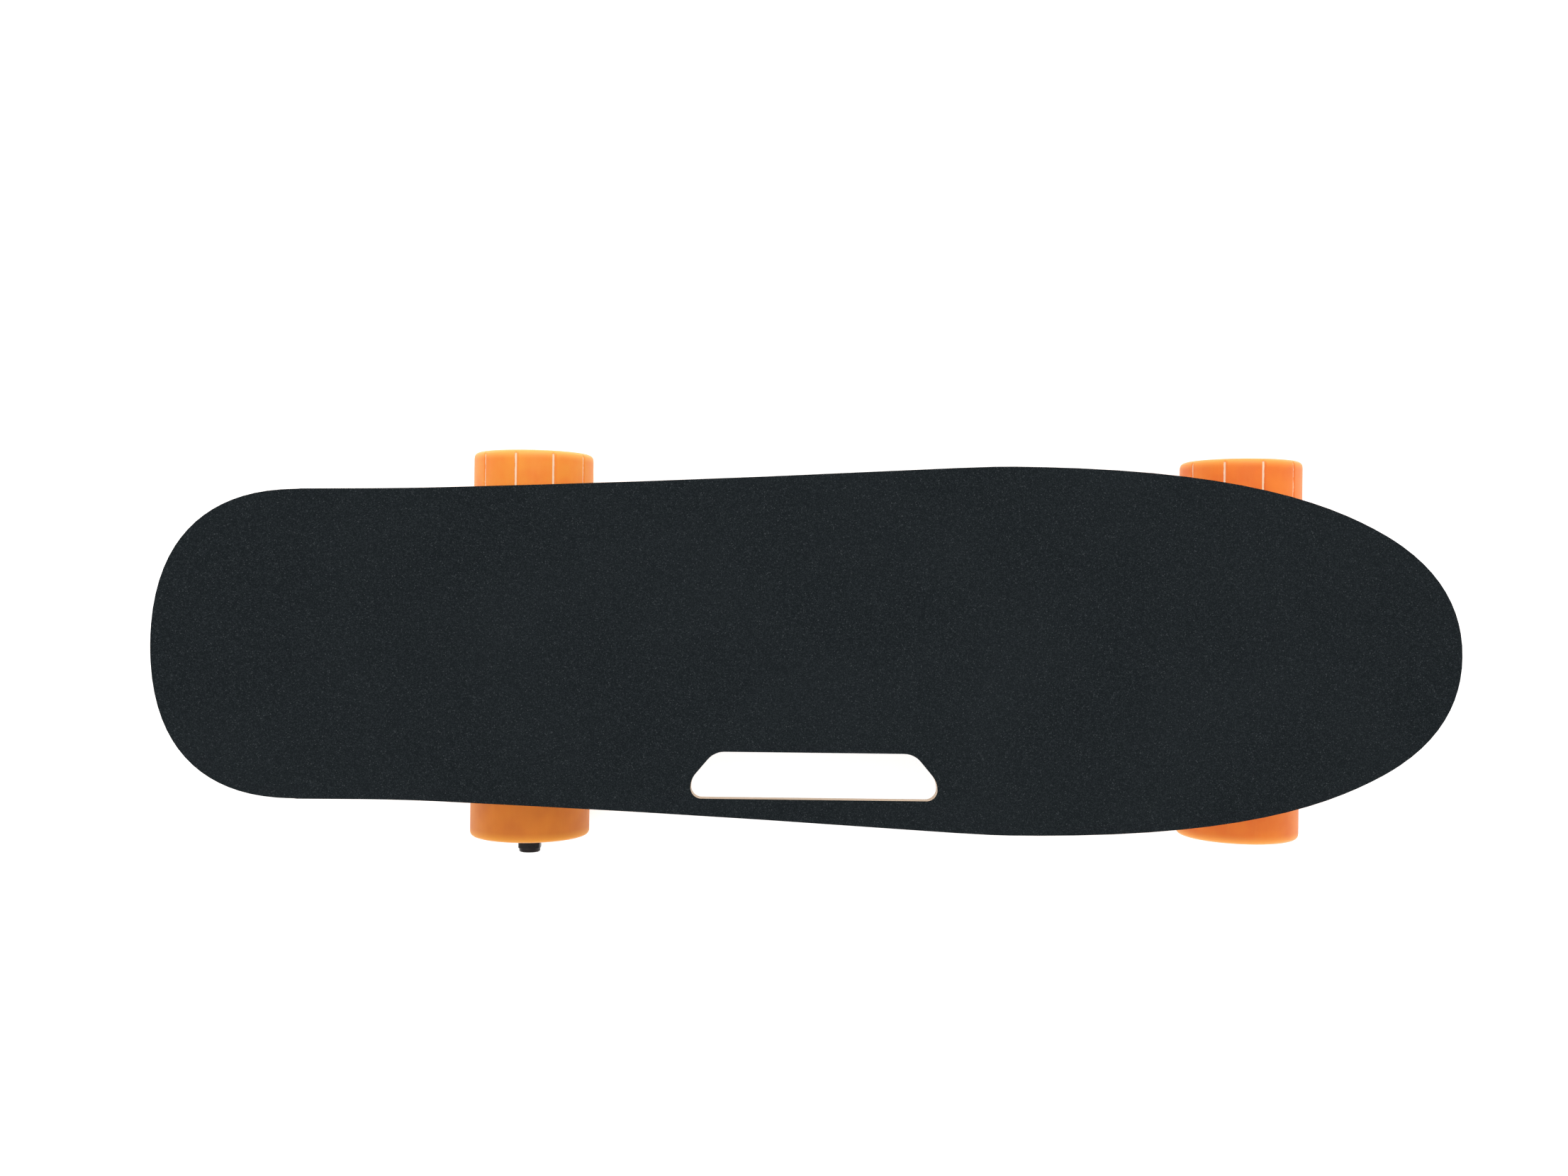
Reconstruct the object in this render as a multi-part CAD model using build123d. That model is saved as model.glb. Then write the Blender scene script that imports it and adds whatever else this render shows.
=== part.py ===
from build123d import *
import math
import os

# Small electric cruiser board: a kicktail maple deck with a carrying slot, two sprung trucks,
# three free wheels, one hub motor wheel and a battery box under the deck.
#
# Frame: millimetres, +X towards the nose, +Y to the rider's left, +Z up.
# Origin: on the top of the grip tape, at the middle of the deck's length, on its centreline.

# ---------------------------------------------------------------- driving dimensions

running_fit = 0.03          # radial, shaft in a race
press_gap = 0.02            # radial, pieces that are pressed or bonded together
bolt_gap = 0.2              # radial, bolt in a drilled hole
body_gap = 0.3              # between pieces that move past each other

# deck
deck_length = 705.0
deck_width = 203.0
tail_width = 168.0
widest_from_tail = 460.5
tail_corner_length = 72.5
side_flare = 0.03           # slope of the side where it leaves the tail corner
ply_thickness = 1.5
ply_count = 7
grip_thickness = 1.0
deck_edge_radius = 3.0
kick_angle = 14.0
kick_radius = 180.0
nose_angle = 8.0
nose_radius = 150.0
bend_gap = 2.0              # flat deck left between a baseplate and a bend

# carrying slot, on the right side of the deck
slot_outer_length = 136.0
slot_end_height = 10.5       # square part of each end, from the outer edge
slot_end_slant = 13.0       # how far the inner edge's corners lie in from the ends
slot_width = 26.0
slot_rim = 12.7             # wood left between the slot and the deck's edge
slot_outer_radius = 6.0
slot_inner_radius = 12.0

# trucks, in their own plane: u is away from the middle of the board, w is up from the axle
rear_overhang = 185.0
front_overhang = 99.0
truck_height = 53.0
wheel_to_deck = 21.0        # room over the wheels that the riser pads keep
thinnest_riser = 1.5
baseplate_inner = 48.0
baseplate_outer = 36.0
baseplate_width = 56.0
baseplate_thickness = 6.0
baseplate_corner = 8.0
bolt_spacing_long = 54.0
bolt_spacing_wide = 41.3
bolt_pattern_u = -3.0
truck_bolt_radius = 2.4
bolt_head_radius = 4.6
bolt_head_height = 2.6
bolt_nut_flats = 9.5
bolt_nut_height = 5.0
bolt_thread_showing = 1.5
pivot_u, pivot_w = 17.0, 38.0
ring_u, ring_w = -23.0, 2.0
kingpin_tilt = 15.0
kingpin_radius = 4.75
kingpin_head_radius = 8.0
kingpin_head_height = 5.0
kingpin_nut_flats = 14.3
kingpin_nut_height = 7.5
kingpin_thread_showing = 2.0
ring_radius = 15.5
ring_hole_radius = 7.5
ring_web = 6.0
bushing_seat_depth = 2.0
bushing_radius = 12.0
boardside_bushing_height = 12.0
roadside_bushing_height = 10.0
roadside_bushing_end_radius = 10.0
cup_washer_thickness = 1.5
cup_washer_lip = 1.5
tower_radius = 13.5
pivot_ball_radius = 6.0
pivot_stub_length = 22.0
pivot_stub_radius = 9.0
pivot_cup_radius = 9.0
pivot_cup_depth = 8.0
pivot_cup_mouth = 6.0
pivot_boss_wall = 4.0
stub_room = 2.0             # between the turning stub and the plate's rib
hanger_half_length = 75.5
hanger_end_radius = 8.0
hanger_middle_radius = 11.5
hanger_taper_start = 22.0
hanger_taper_end = 60.0
hanger_web_width = 16.0
hanger_gusset_half = 46.0
hanger_gusset_thickness = 8.0

# axle, bearings and free wheels
axle_radius = 3.97
axle_nut_flats = 12.7
axle_nut_height = 8.0
axle_nut_collar = 2.0
axle_washer_radius = 6.3
axle_washer_thickness = 1.0
axle_end_showing = 1.0
bearing_radius = 11.0
bearing_width = 7.0
inner_race_radius = 6.2
outer_race_wall = 1.7
shield_thickness = 0.5
shield_gap = 0.2
bearing_spacer_length = 10.0
bearing_spacer_radius = 5.3
wheel_radius = 35.0
wheel_width = 45.0
tread_lip_radius = 4.0
wheel_face_radius = 27.0
wheel_dish_radius = 20.0
wheel_dish_depth = 7.5
core_radius = 17.5
core_overhang = 1.5
core_web_radius = 9.5
groove_count = 10
groove_width = 1.4
groove_depth = 1.2
groove_phase = 18.0         # degrees from straight up to the first groove

# hub motor wheel, measured out from the centreline
motor_mount_y = 57.0
motor_pad_thickness = 5.0
motor_flange_radius = 16.0
motor_flange_thickness = 4.0
motor_flange_flats = 24.0
motor_key_depth = 3.0
motor_wheel_inner = 65.0
motor_wheel_width = 50.0
motor_tyre_wall = 9.5
rotor_wall = 4.0
magnet_thickness = 2.0
magnet_count = 14
magnet_share = 0.86
air_gap = 0.5
motor_shaft_radius = 8.5
motor_bearing_section = 4.5
motor_bearing_width = 5.0
motor_inner_race_wall = 1.3
motor_outer_race_wall = 1.8
cover_rim = 2.0             # tyre left between its lip and a cover
cover_flange_thickness = 3.5
cover_recess = 4.0
cover_spigot = 4.0
cover_screw_count = 6
cover_screw_radius = 1.25
cover_screw_head_radius = 2.4
cover_screw_length = 9.0
stator_length = 24.0
stator_core_wall = 4.0
tooth_count = 12
tooth_width = 3.4
tooth_shoe = 1.5
coil_build = 1.2
coil_overhang = 2.8
motor_nut_stand_off = 0.5   # washer face past the wheel's outer face

# motor cable
cable_radius = 3.0
cable_exit_u = -12.5
cable_notch_gap = 1.0
cable_notch_length = 14.0
cable_lead = 6.0
cable_bend_radius = 30.0
cable_bend_corners = 4
cable_straight_corners = 2
cable_inside_box = 6.0
gland_radius = 7.0
gland_length = 13.0
gland_inner_length = 4.0
gland_lead = 8.0            # straight cable ahead of the gland

# battery box
box_end_gap = 36.5          # between a baseplate and the box's flange
flange_width = 8.0
flange_thickness = 3.0
gasket_thickness = 1.5
box_wall = 2.5
box_depth = 32.0
box_corner = 12.0
box_edge_radius = 5.0
box_to_slot = 2.5
box_screw_radius = 1.75
box_screw_head_radius = 3.3
box_screw_head_height = 2.0
box_screw_columns = 5
insert_radius = 2.8
insert_depth = 7.0
screw_in_insert = 6.0

# battery and electronics
cell_radius = 9.2
cell_length = 65.0
cell_gap = 0.3
cell_floor_gap = 1.5
holder_thickness = 7.0
holder_side = 0.9
link_thickness = 0.3
link_width = 8.0
battery_side_room = 11.0    # for the holders' ends, links and wiring, each side
controller_zone = 58.0       # free length ahead of the rear wall for controller, gland and cable
controller_gap = 2.0
board_thickness = 1.6
controller_board_size = (36.0, 62.0)
heatsink_height = 8.0
transistor_size = (4.6, 10.0, 9.0)
transistor_count = 6
capacitor_radius = 5.0
capacitor_height = 12.0
capacitor_count = 3
bms_board_size = (120.0, 40.0)
bms_foam_gap = 0.6

# ports, on the left wall of the box
socket_from_box_end = 23.0
socket_radius = 5.5
socket_bore_radius = 2.85
socket_pin_radius = 1.0
socket_length = 14.0
socket_depth = 10.0
button_from_socket = 18.0
button_radius = 6.0
button_height = 3.0
button_travel = 1.2
button_rim = 1.5
button_rim_thickness = 1.0
switch_size = (20.0, 6.0, 12.0)
switch_plunger_radius = 3.0
switch_plunger_height = 1.0
gauge_from_button = 22.0
gauge_length = 16.0
gauge_height = 4.0
gauge_proud = 0.6
cap_radius = 7.5
cap_thickness = 2.2
cap_strap_width = 7.0
cap_hinge_rise = 10.0
cap_pin_radius = 0.9
cap_pin_fit = 0.08          # radial
cap_eye_wall = 0.52
cap_lug_width = 2.0

# ---------------------------------------------------------------- derived places

deck_thickness = ply_thickness * ply_count
deck_top_z = -grip_thickness
deck_bottom_z = deck_top_z - deck_thickness
riser_thickness = max(thinnest_riser, wheel_radius + wheel_to_deck - truck_height)
mount_face_z = deck_bottom_z - riser_thickness
axle_z = mount_face_z - truck_height
tail_x = -deck_length / 2
nose_x = deck_length / 2
rear_axle_x = tail_x + rear_overhang
front_axle_x = nose_x - front_overhang
kick_start_x = rear_axle_x - baseplate_outer - bend_gap
nose_start_x = front_axle_x + baseplate_outer + bend_gap

inner_washer_y = hanger_half_length + axle_washer_thickness
inner_bearing_y = inner_washer_y + bearing_width
outer_bearing_y = inner_bearing_y + bearing_spacer_length
race_end_y = outer_bearing_y + bearing_width
outer_washer_y = race_end_y + axle_washer_thickness
free_axle_end_y = outer_washer_y + axle_nut_height + axle_end_showing
wheel_centre_y = (inner_washer_y + race_end_y) / 2
wheel_inner_y = wheel_centre_y - wheel_width / 2
wheel_outer_y = wheel_centre_y + wheel_width / 2

motor_wheel_outer = motor_wheel_inner + motor_wheel_width
motor_washer_y = motor_wheel_outer + motor_nut_stand_off
motor_nut_y = motor_washer_y + axle_washer_thickness
motor_axle_end_y = motor_nut_y + axle_nut_height + axle_end_showing
motor_bearing_radius = motor_shaft_radius + motor_bearing_section
cover_flange_radius = wheel_radius - tread_lip_radius - cover_rim
rotor_radius = wheel_radius - motor_tyre_wall
rotor_bore = rotor_radius - rotor_wall
magnet_bore = rotor_bore - magnet_thickness
stator_radius = magnet_bore - air_gap
rotor_start_y = motor_wheel_inner + cover_recess
rotor_end_y = motor_wheel_outer - cover_recess
motor_middle_y = (rotor_start_y + rotor_end_y) / 2

box_start_x = rear_axle_x + baseplate_inner + box_end_gap
box_end_x = front_axle_x - baseplate_inner - box_end_gap
box_length = box_end_x - box_start_x
box_middle_x = (box_start_x + box_end_x) / 2
tray_length = box_length - 2 * flange_width
tray_inner_width = cell_length + 2 * battery_side_room
tray_width = tray_inner_width + 2 * box_wall
box_width = tray_width + 2 * flange_width
gasket_top_z = deck_bottom_z
flange_top_z = gasket_top_z - gasket_thickness
tray_bottom_z = flange_top_z - box_depth
tray_floor_z = tray_bottom_z + box_wall
tray_start_x = box_start_x + flange_width
tray_inner_start_x = tray_start_x + box_wall
tray_inner_end_x = box_end_x - flange_width - box_wall

steer_direction = Vector(pivot_u - ring_u, 0, pivot_w - ring_w).normalized()
kingpin_direction = Vector(
    -math.sin(math.radians(kingpin_tilt)), 0, math.cos(math.radians(kingpin_tilt))
)
pivot_plane = Plane(origin=(pivot_u, 0, pivot_w), x_dir=(0, 1, 0), z_dir=steer_direction)
kingpin_plane = Plane(origin=(ring_u, 0, ring_w), x_dir=(0, 1, 0), z_dir=kingpin_direction)
boardside_top = ring_web / 2 + boardside_bushing_height
tower_seat = boardside_top + cup_washer_thickness
roadside_end = -ring_web / 2 - roadside_bushing_height
nut_seat = roadside_end - cup_washer_thickness
kingpin_end = nut_seat - kingpin_nut_height - kingpin_thread_showing
kingpin_head_top = (truck_height - ring_w) / kingpin_direction.Z - kingpin_head_radius * math.tan(
    math.radians(kingpin_tilt)
)

front_place = Location((front_axle_x, 0, axle_z))
rear_place = Location((rear_axle_x, 0, axle_z), (0, 0, 180))
truck_places = [front_place, rear_place]
bolt_places = [
    Pos(bolt_pattern_u + i * bolt_spacing_long / 2, j * bolt_spacing_wide / 2, 0)
    for i in (-1, 1)
    for j in (-1, 1)
]
UP = (Align.CENTER, Align.CENTER, Align.MIN)
DOWN = (Align.CENTER, Align.CENTER, Align.MAX)


# ---------------------------------------------------------------- small shapes

def rod(radius, low, high):
    """Cylinder along Z from low to high."""
    return Pos(0, 0, low) * Cylinder(radius, high - low, align=UP)


def tube(radius, bore, low, high):
    """Ring along Z from low to high."""
    return rod(radius, low, high) - rod(bore, low, high)


def cone(low_radius, high_radius, low, high):
    """Tapered solid along Z from low to high."""
    return Pos(0, 0, low) * Cone(low_radius, high_radius, high - low, align=UP)


def hex_bar(flats, low, high):
    """Hexagonal bar along Z from low to high, two corners on the X axis."""
    corner = flats / 2 / math.cos(math.radians(30))
    return Pos(0, 0, low) * extrude(RegularPolygon(corner, 6), high - low)


def lock_nut(flats, bore, low, high, collar):
    """Hex nut with a round locking collar at its high end."""
    body = hex_bar(flats, low, high - collar) & cone(
        flats * 0.75, flats * 0.53, low, high - collar
    )
    return body + rod(flats * 0.44, high - collar, high) - rod(bore, low, high)


def rounded_plate(length, width, corner, low, high):
    """Flat plate centred on the Z axis, with rounded corners."""
    return Pos(0, 0, low) * extrude(RectangleRounded(length, width, corner), high - low)


def outwards(shape, side):
    """Turns a shape made along +Z so that it runs out along the axle: side is +1 for +Y, -1 for -Y."""
    return Rot(-90 * side, 0, 0) * shape


def revolved(points):
    """Solid of revolution about Z from (radius, height) points."""
    profile = make_face(Polyline(*[(r, 0, z) for r, z in points], close=True))
    return revolve(profile, Axis.Z)


def both_trucks(shape):
    """The same truck piece at the front and at the rear, as one group."""
    return [place * shape for place in truck_places]


# ---------------------------------------------------------------- deck

def bent_line(depth):
    """Side line of the deck, tail to nose, at this depth under the standing surface."""
    reach = deck_length / 4
    kick, lift = math.radians(kick_angle), math.radians(nose_angle)
    kick_r, lift_r = kick_radius + depth, nose_radius + depth
    kick_end = Vector(kick_start_x - kick_r * math.sin(kick), 0, kick_radius - kick_r * math.cos(kick))
    lift_end = Vector(nose_start_x + lift_r * math.sin(lift), 0, nose_radius - lift_r * math.cos(lift))
    tail_end = kick_end + Vector(-math.cos(kick), 0, math.sin(kick)) * reach
    nose_end = lift_end + Vector(math.cos(lift), 0, math.sin(lift)) * reach
    kick_mid = Vector(
        kick_start_x - kick_r * math.sin(kick / 2), 0, kick_radius - kick_r * math.cos(kick / 2)
    )
    lift_mid = Vector(
        nose_start_x + lift_r * math.sin(lift / 2), 0, nose_radius - lift_r * math.cos(lift / 2)
    )
    flat_start, flat_end = Vector(kick_start_x, 0, -depth), Vector(nose_start_x, 0, -depth)
    edges = [
        Line(tail_end, kick_end),
        ThreePointArc(kick_end, kick_mid, flat_start),
        Line(flat_start, flat_end),
        ThreePointArc(flat_end, lift_mid, lift_end),
        Line(lift_end, nose_end),
    ]
    return edges, tail_end, nose_end


def bent_slab(top_depth, bottom_depth):
    """Slab that follows the kick and the nose between two depths, wider than the deck."""
    top, top_tail, top_nose = bent_line(top_depth)
    bottom, bottom_tail, bottom_nose = bent_line(bottom_depth)
    ends = [Line(top_nose, bottom_nose), Line(bottom_tail, top_tail)]
    face = make_face(top + bottom + ends)
    return extrude(face, deck_width, dir=(0, 1, 0), both=True)


def deck_outline():
    """Plan view of the deck: a blunt tail, sides that flare to the widest point, a long round nose."""
    half, tail_half = deck_width / 2, tail_width / 2
    corner_x, widest_x = tail_x + tail_corner_length, tail_x + widest_from_tail
    side = widest_x - corner_x
    nose = nose_x - widest_x
    edges = []
    for s in (1, -1):
        edges.append(Bezier(
            (tail_x, 0),
            (tail_x, s * 1.07 * tail_half),
            (tail_x + 0.95 * tail_corner_length, s * (tail_half - 0.76 * side_flare * tail_corner_length)),
            (corner_x, s * tail_half),
        ))
        edges.append(Bezier(
            (corner_x, s * tail_half),
            (corner_x + 0.617 * side, s * (tail_half + 0.617 * side_flare * side)),
            (widest_x - 0.093 * side, s * half),
            (widest_x, s * half),
        ))
        edges.append(Bezier(
            (widest_x, s * half),
            (widest_x + 0.325 * nose, s * half),
            (nose_x, s * 0.95 * half),
            (nose_x, 0),
        ))
    return make_face(edges)


def deck_half_width():
    """Half the deck's width at the middle of its length, measured on the outline."""
    line = Edge.make_line((0, 0, 0), (0, deck_width, 0))
    crossing = deck_outline() & line
    return crossing.edges()[0].length


slot_outer_y = -(deck_half_width() - slot_rim)
slot_inner_y = slot_outer_y + slot_width
box_middle_y = max(0.0, box_width / 2 + box_to_slot + slot_inner_y)
tray_wall_y = box_middle_y + tray_width / 2
box_screw_y = box_width / 2 - flange_width / 2
box_screw_step = (box_length - 4 * flange_width) / (box_screw_columns - 1)
box_screw_places = [
    Pos(box_middle_x + (i - (box_screw_columns - 1) / 2) * box_screw_step, box_middle_y + j * box_screw_y, 0)
    for i in range(box_screw_columns)
    for j in (-1, 1)
]


def slot_outline():
    """Carrying slot: long side near the deck's edge, round corners."""
    half, inner_half = slot_outer_length / 2, slot_outer_length / 2 - slot_end_slant
    knee_y = slot_outer_y + slot_end_height
    face = make_face(Polyline(
        (-half, slot_outer_y),
        (half, slot_outer_y),
        (half, knee_y),
        (inner_half, slot_inner_y),
        (-inner_half, slot_inner_y),
        (-half, knee_y),
        close=True,
    ))
    inner = face.vertices().filter_by(lambda v: v.Y > slot_outer_y + slot_end_height / 2)
    face = fillet(inner, slot_inner_radius)
    outer = [v for v in face.vertices() if abs(v.Y - slot_outer_y) < 1e-3]
    return fillet(outer, slot_outer_radius)


def deck_prism(outline):
    """Upright prism of a plan outline, taller than the whole deck."""
    return extrude(Pos(0, 0, -deck_width) * outline, 2 * deck_width)


def deck_board():
    """Pressed maple board with its slot, truck bolt holes and pilot holes for the box inserts."""
    board = bent_slab(grip_thickness, grip_thickness + deck_thickness) & deck_prism(deck_outline())
    board -= deck_prism(slot_outline())
    under = [e for face in board.faces() if face.normal_at(face.center()).Z < -0.5 for e in face.edges()]
    rim = [e for e in under if sum(e.is_same(other) for other in under) == 1]
    board = fillet(rim, min(deck_edge_radius, 0.4 * deck_thickness))
    hole = rod(truck_bolt_radius + bolt_gap, deck_bottom_z - 1, deck_top_z)
    sink = cone(
        truck_bolt_radius + bolt_gap, bolt_head_radius + bolt_gap, deck_top_z - bolt_head_height, deck_top_z
    )
    for place in truck_places:
        flat_place = Location((place.position.X, 0, 0), place.orientation)
        for spot in bolt_places:
            board -= flat_place * spot * (hole + sink)
    pocket = rod(insert_radius + press_gap, deck_bottom_z, deck_bottom_z + insert_depth)
    for spot in box_screw_places:
        board -= spot * pocket
    return board


def grip_tape():
    """Grit sheet over the whole top, bolt heads included."""
    sheet = bent_slab(0, grip_thickness) & deck_prism(deck_outline())
    return sheet - deck_prism(slot_outline())


# ---------------------------------------------------------------- trucks

def plate_with_holes(low, high):
    """Baseplate outline with the four truck bolt holes, in the truck's own frame."""
    middle = (baseplate_outer - baseplate_inner) / 2
    plate = Pos(middle, 0, 0) * rounded_plate(
        baseplate_outer + baseplate_inner, baseplate_width, baseplate_corner, low, high
    )
    for spot in bolt_places:
        plate -= spot * rod(truck_bolt_radius + bolt_gap, low, high)
    return plate


def riser_pad():
    """Hard rubber pad between deck and truck."""
    return plate_with_holes(truck_height, truck_height + riser_thickness)


def baseplate():
    """Cast plate with the kingpin tower and the pivot boss, joined by a rib."""
    plate = plate_with_holes(truck_height - baseplate_thickness, truck_height)
    boss_radius = pivot_cup_radius + pivot_boss_wall
    boss = pivot_plane * rod(boss_radius, -pivot_cup_mouth, 2 * pivot_cup_depth)
    tower = kingpin_plane * cone(tower_radius, tower_radius + 2, tower_seat, 60)
    rib_line = Polyline(
        (ring_u - 8, 0, truck_height - 3),
        (ring_u - 2, 0, ring_w + tower_seat + 9),
        (pivot_u - 12, 0, pivot_w),
        (pivot_u + 8, 0, truck_height - 3),
        close=True,
    )
    rib = extrude(make_face(rib_line), 5, dir=(0, 1, 0), both=True)
    room = Pos(0, 0, truck_height) * Box(300, 300, 300, align=DOWN)
    ends = Pos((baseplate_outer - baseplate_inner) / 2, 0, 0) * Box(
        baseplate_outer + baseplate_inner, baseplate_width, 300
    )
    solid = plate + ((boss + tower + rib) & room & ends)
    solid -= pivot_plane * rod(pivot_cup_radius + press_gap, -2 * pivot_cup_mouth, pivot_cup_depth)
    solid -= pivot_plane * rod(
        pivot_stub_radius + stub_room, -pivot_stub_length - stub_room, -pivot_cup_mouth
    )
    solid -= kingpin_plane * rod(kingpin_radius + bolt_gap, 0, 80)
    head = hex_bar(2 * kingpin_head_radius * 0.87, kingpin_head_top - kingpin_head_height, 80)
    solid -= kingpin_plane * offset(head, bolt_gap, kind=Kind.INTERSECTION)
    return solid


def pivot_cup():
    """Urethane cup that the hanger's ball turns in."""
    cup = rod(pivot_cup_radius, -pivot_cup_mouth, pivot_cup_depth)
    ball = pivot_ball_radius + body_gap
    socket = Sphere(ball) + cone(stub_radius_at(-pivot_cup_mouth) + body_gap + 0.4, ball, -pivot_cup_mouth, 0)
    return pivot_plane * (cup - socket)


def stub_radius_at(along):
    """Radius of the pivot stub at a distance along the steering axis from the ball's centre."""
    return pivot_ball_radius + (pivot_stub_radius - pivot_ball_radius) * -along / pivot_stub_length


def kingpin():
    """Hex-head bolt that clamps the bushings, head down in the baseplate."""
    shank = rod(kingpin_radius, kingpin_end, kingpin_head_top - kingpin_head_height)
    head = hex_bar(
        2 * kingpin_head_radius * 0.87, kingpin_head_top - kingpin_head_height, kingpin_head_top
    )
    return kingpin_plane * (shank + head)


def kingpin_nut():
    """Lock nut under the roadside bushing."""
    nut = lock_nut(kingpin_nut_flats, kingpin_radius + press_gap, 0, kingpin_nut_height, axle_nut_collar)
    return kingpin_plane * Pos(0, 0, nut_seat) * Rot(180, 0, 0) * nut


def cup_washer(radius):
    """Pressed washer whose lip holds a bushing's end, seat at Z 0 and lip upwards."""
    disc = rod(radius, -cup_washer_thickness, 0)
    lip = tube(radius, radius - cup_washer_thickness / 2, 0, cup_washer_lip)
    return disc + lip - rod(kingpin_radius + bolt_gap, -cup_washer_thickness, 0)


def bushing_washers():
    """Boardside and roadside washers of one truck."""
    wide = bushing_radius + cup_washer_thickness / 2 + body_gap
    narrow = roadside_bushing_end_radius + cup_washer_thickness / 2 + 2 * body_gap
    board = kingpin_plane * Pos(0, 0, boardside_top) * Rot(180, 0, 0) * cup_washer(wide)
    road = kingpin_plane * Pos(0, 0, roadside_end) * cup_washer(narrow)
    return [board, road]


def boardside_bushing():
    """Barrel bushing between baseplate and hanger ring."""
    barrel = rod(bushing_radius, ring_web / 2, boardside_top)
    ends = barrel.edges().filter_by(GeomType.CIRCLE)
    barrel = fillet(ends, 1.2)
    return kingpin_plane * (barrel - rod(kingpin_radius + bolt_gap, 0, 40))


def roadside_bushing():
    """Cone bushing under the hanger ring."""
    body = cone(roadside_bushing_end_radius, bushing_radius, roadside_end, -ring_web / 2)
    return kingpin_plane * (body - rod(kingpin_radius + bolt_gap, -40, 0))


def hanger(motor_side):
    """Cast hanger: axle beam, gusset, bushing ring and pivot stub. The rear one ends in the motor's pad."""
    beam_points = [(0, -hanger_half_length), (hanger_end_radius, -hanger_half_length)]
    beam_points += [(hanger_end_radius, -hanger_taper_end), (hanger_middle_radius, -hanger_taper_start)]
    beam_points += [(hanger_middle_radius, hanger_taper_start)]
    if motor_side:
        pad_start = motor_mount_y - motor_pad_thickness
        beam_points += [(hanger_end_radius + 1, pad_start - 4), (motor_flange_radius, pad_start)]
        beam_points += [(motor_flange_radius, motor_mount_y), (0, motor_mount_y)]
    else:
        beam_points += [(hanger_end_radius, hanger_taper_end), (hanger_end_radius, hanger_half_length)]
        beam_points += [(0, hanger_half_length)]
    beam = Rot(-90, 0, 0) * revolved(beam_points)
    ring = kingpin_plane * rod(
        ring_radius, -ring_web / 2 - bushing_seat_depth, ring_web / 2 + bushing_seat_depth
    )
    half_web = hanger_gusset_thickness / 2
    gusset_line = Polyline(
        (ring_u, -ring_radius + 2, 0),
        (0, -hanger_gusset_half, 0),
        (0, hanger_gusset_half, 0),
        (ring_u, ring_radius - 2, 0),
        close=True,
    )
    gusset = Pos(0, 0, -half_web) * extrude(make_face(gusset_line), hanger_gusset_thickness)
    web_line = Polyline(
        (ring_u + 8, 0, ring_w - 4),
        (0, 0, -hanger_middle_radius + 2),
        (hanger_middle_radius - 2, 0, 0),
        (pivot_u - 3, 0, pivot_w - 16),
        (pivot_u - 13, 0, pivot_w - 9),
        (ring_u + 14, 0, ring_w + 8),
        close=True,
    )
    web = extrude(make_face(web_line), hanger_web_width / 2, dir=(0, 1, 0), both=True)
    body = beam + ring + gusset + web
    body -= pivot_plane * rod(
        pivot_cup_radius + pivot_boss_wall + 2, -pivot_cup_mouth - 2, 3 * pivot_stub_length
    )
    stub = pivot_plane * (
        cone(pivot_stub_radius, pivot_ball_radius, -pivot_stub_length, 0) + Sphere(pivot_ball_radius)
    )
    body += stub
    seat_radius = bushing_radius + body_gap
    seat_room = bushing_radius + 2
    body -= kingpin_plane * rod(seat_radius, ring_web / 2, ring_web / 2 + bushing_seat_depth)
    body -= kingpin_plane * rod(seat_room, ring_web / 2 + bushing_seat_depth, tower_seat + 2)
    body -= kingpin_plane * rod(seat_radius, -ring_web / 2 - bushing_seat_depth, -ring_web / 2)
    body -= kingpin_plane * rod(seat_room, kingpin_end - 8, -ring_web / 2 - bushing_seat_depth)
    body -= kingpin_plane * rod(ring_hole_radius, -ring_web, ring_web)
    body -= outwards(rod(axle_radius + press_gap, -2 * hanger_half_length, 2 * hanger_half_length), 1)
    if motor_side:
        key = Box(4 * motor_flange_radius, motor_flange_flats + 2 * press_gap, motor_key_depth, align=DOWN)
        body -= outwards(Pos(0, 0, motor_mount_y) * key, 1)
        notch = rod(cable_radius + cable_notch_gap, motor_mount_y - cable_notch_length, motor_mount_y)
        body -= Pos(cable_exit_u, 0, 0) * outwards(notch, 1)
    return body


# ---------------------------------------------------------------- axles, bearings, free wheels

def on_sides(shape, sides=(1, -1)):
    """Copies of an axle piece, made along +Z from the centreline, on each given side."""
    return [outwards(shape, side) for side in sides]


def axle(far_end):
    """Steel axle rod, from the free wheel's end on -V to far_end on +V."""
    bar = outwards(rod(axle_radius, -free_axle_end_y, far_end), 1)
    ends = bar.edges().filter_by(GeomType.CIRCLE)
    return chamfer(ends, 0.6)


def axle_nut(seat):
    """Lock nut on an axle end, seat given along the axle."""
    return lock_nut(
        axle_nut_flats, axle_radius + press_gap, seat, seat + axle_nut_height, axle_nut_collar
    )


def free_wheel_spacers():
    """Two speed washers and the spacer between the bearings, along +Z from the centreline."""
    bore = axle_radius + press_gap
    return [
        tube(axle_washer_radius, bore, hanger_half_length, inner_washer_y),
        tube(bearing_spacer_radius, bore, inner_bearing_y, outer_bearing_y),
        tube(axle_washer_radius, bore, race_end_y, outer_washer_y),
    ]


def free_wheel_inner_races():
    """Inner races of one wheel's two bearings."""
    bore = axle_radius + running_fit
    return [
        tube(inner_race_radius, bore, start, start + bearing_width)
        for start in (inner_washer_y, outer_bearing_y)
    ]


def outer_race(radius, wall, shield_bore, start, width):
    """Outer race with a thin shield on each face."""
    ring = tube(radius, radius - wall, start, start + width)
    ring += tube(radius, shield_bore, start, start + shield_thickness)
    return ring + tube(radius, shield_bore, start + width - shield_thickness, start + width)


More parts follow.
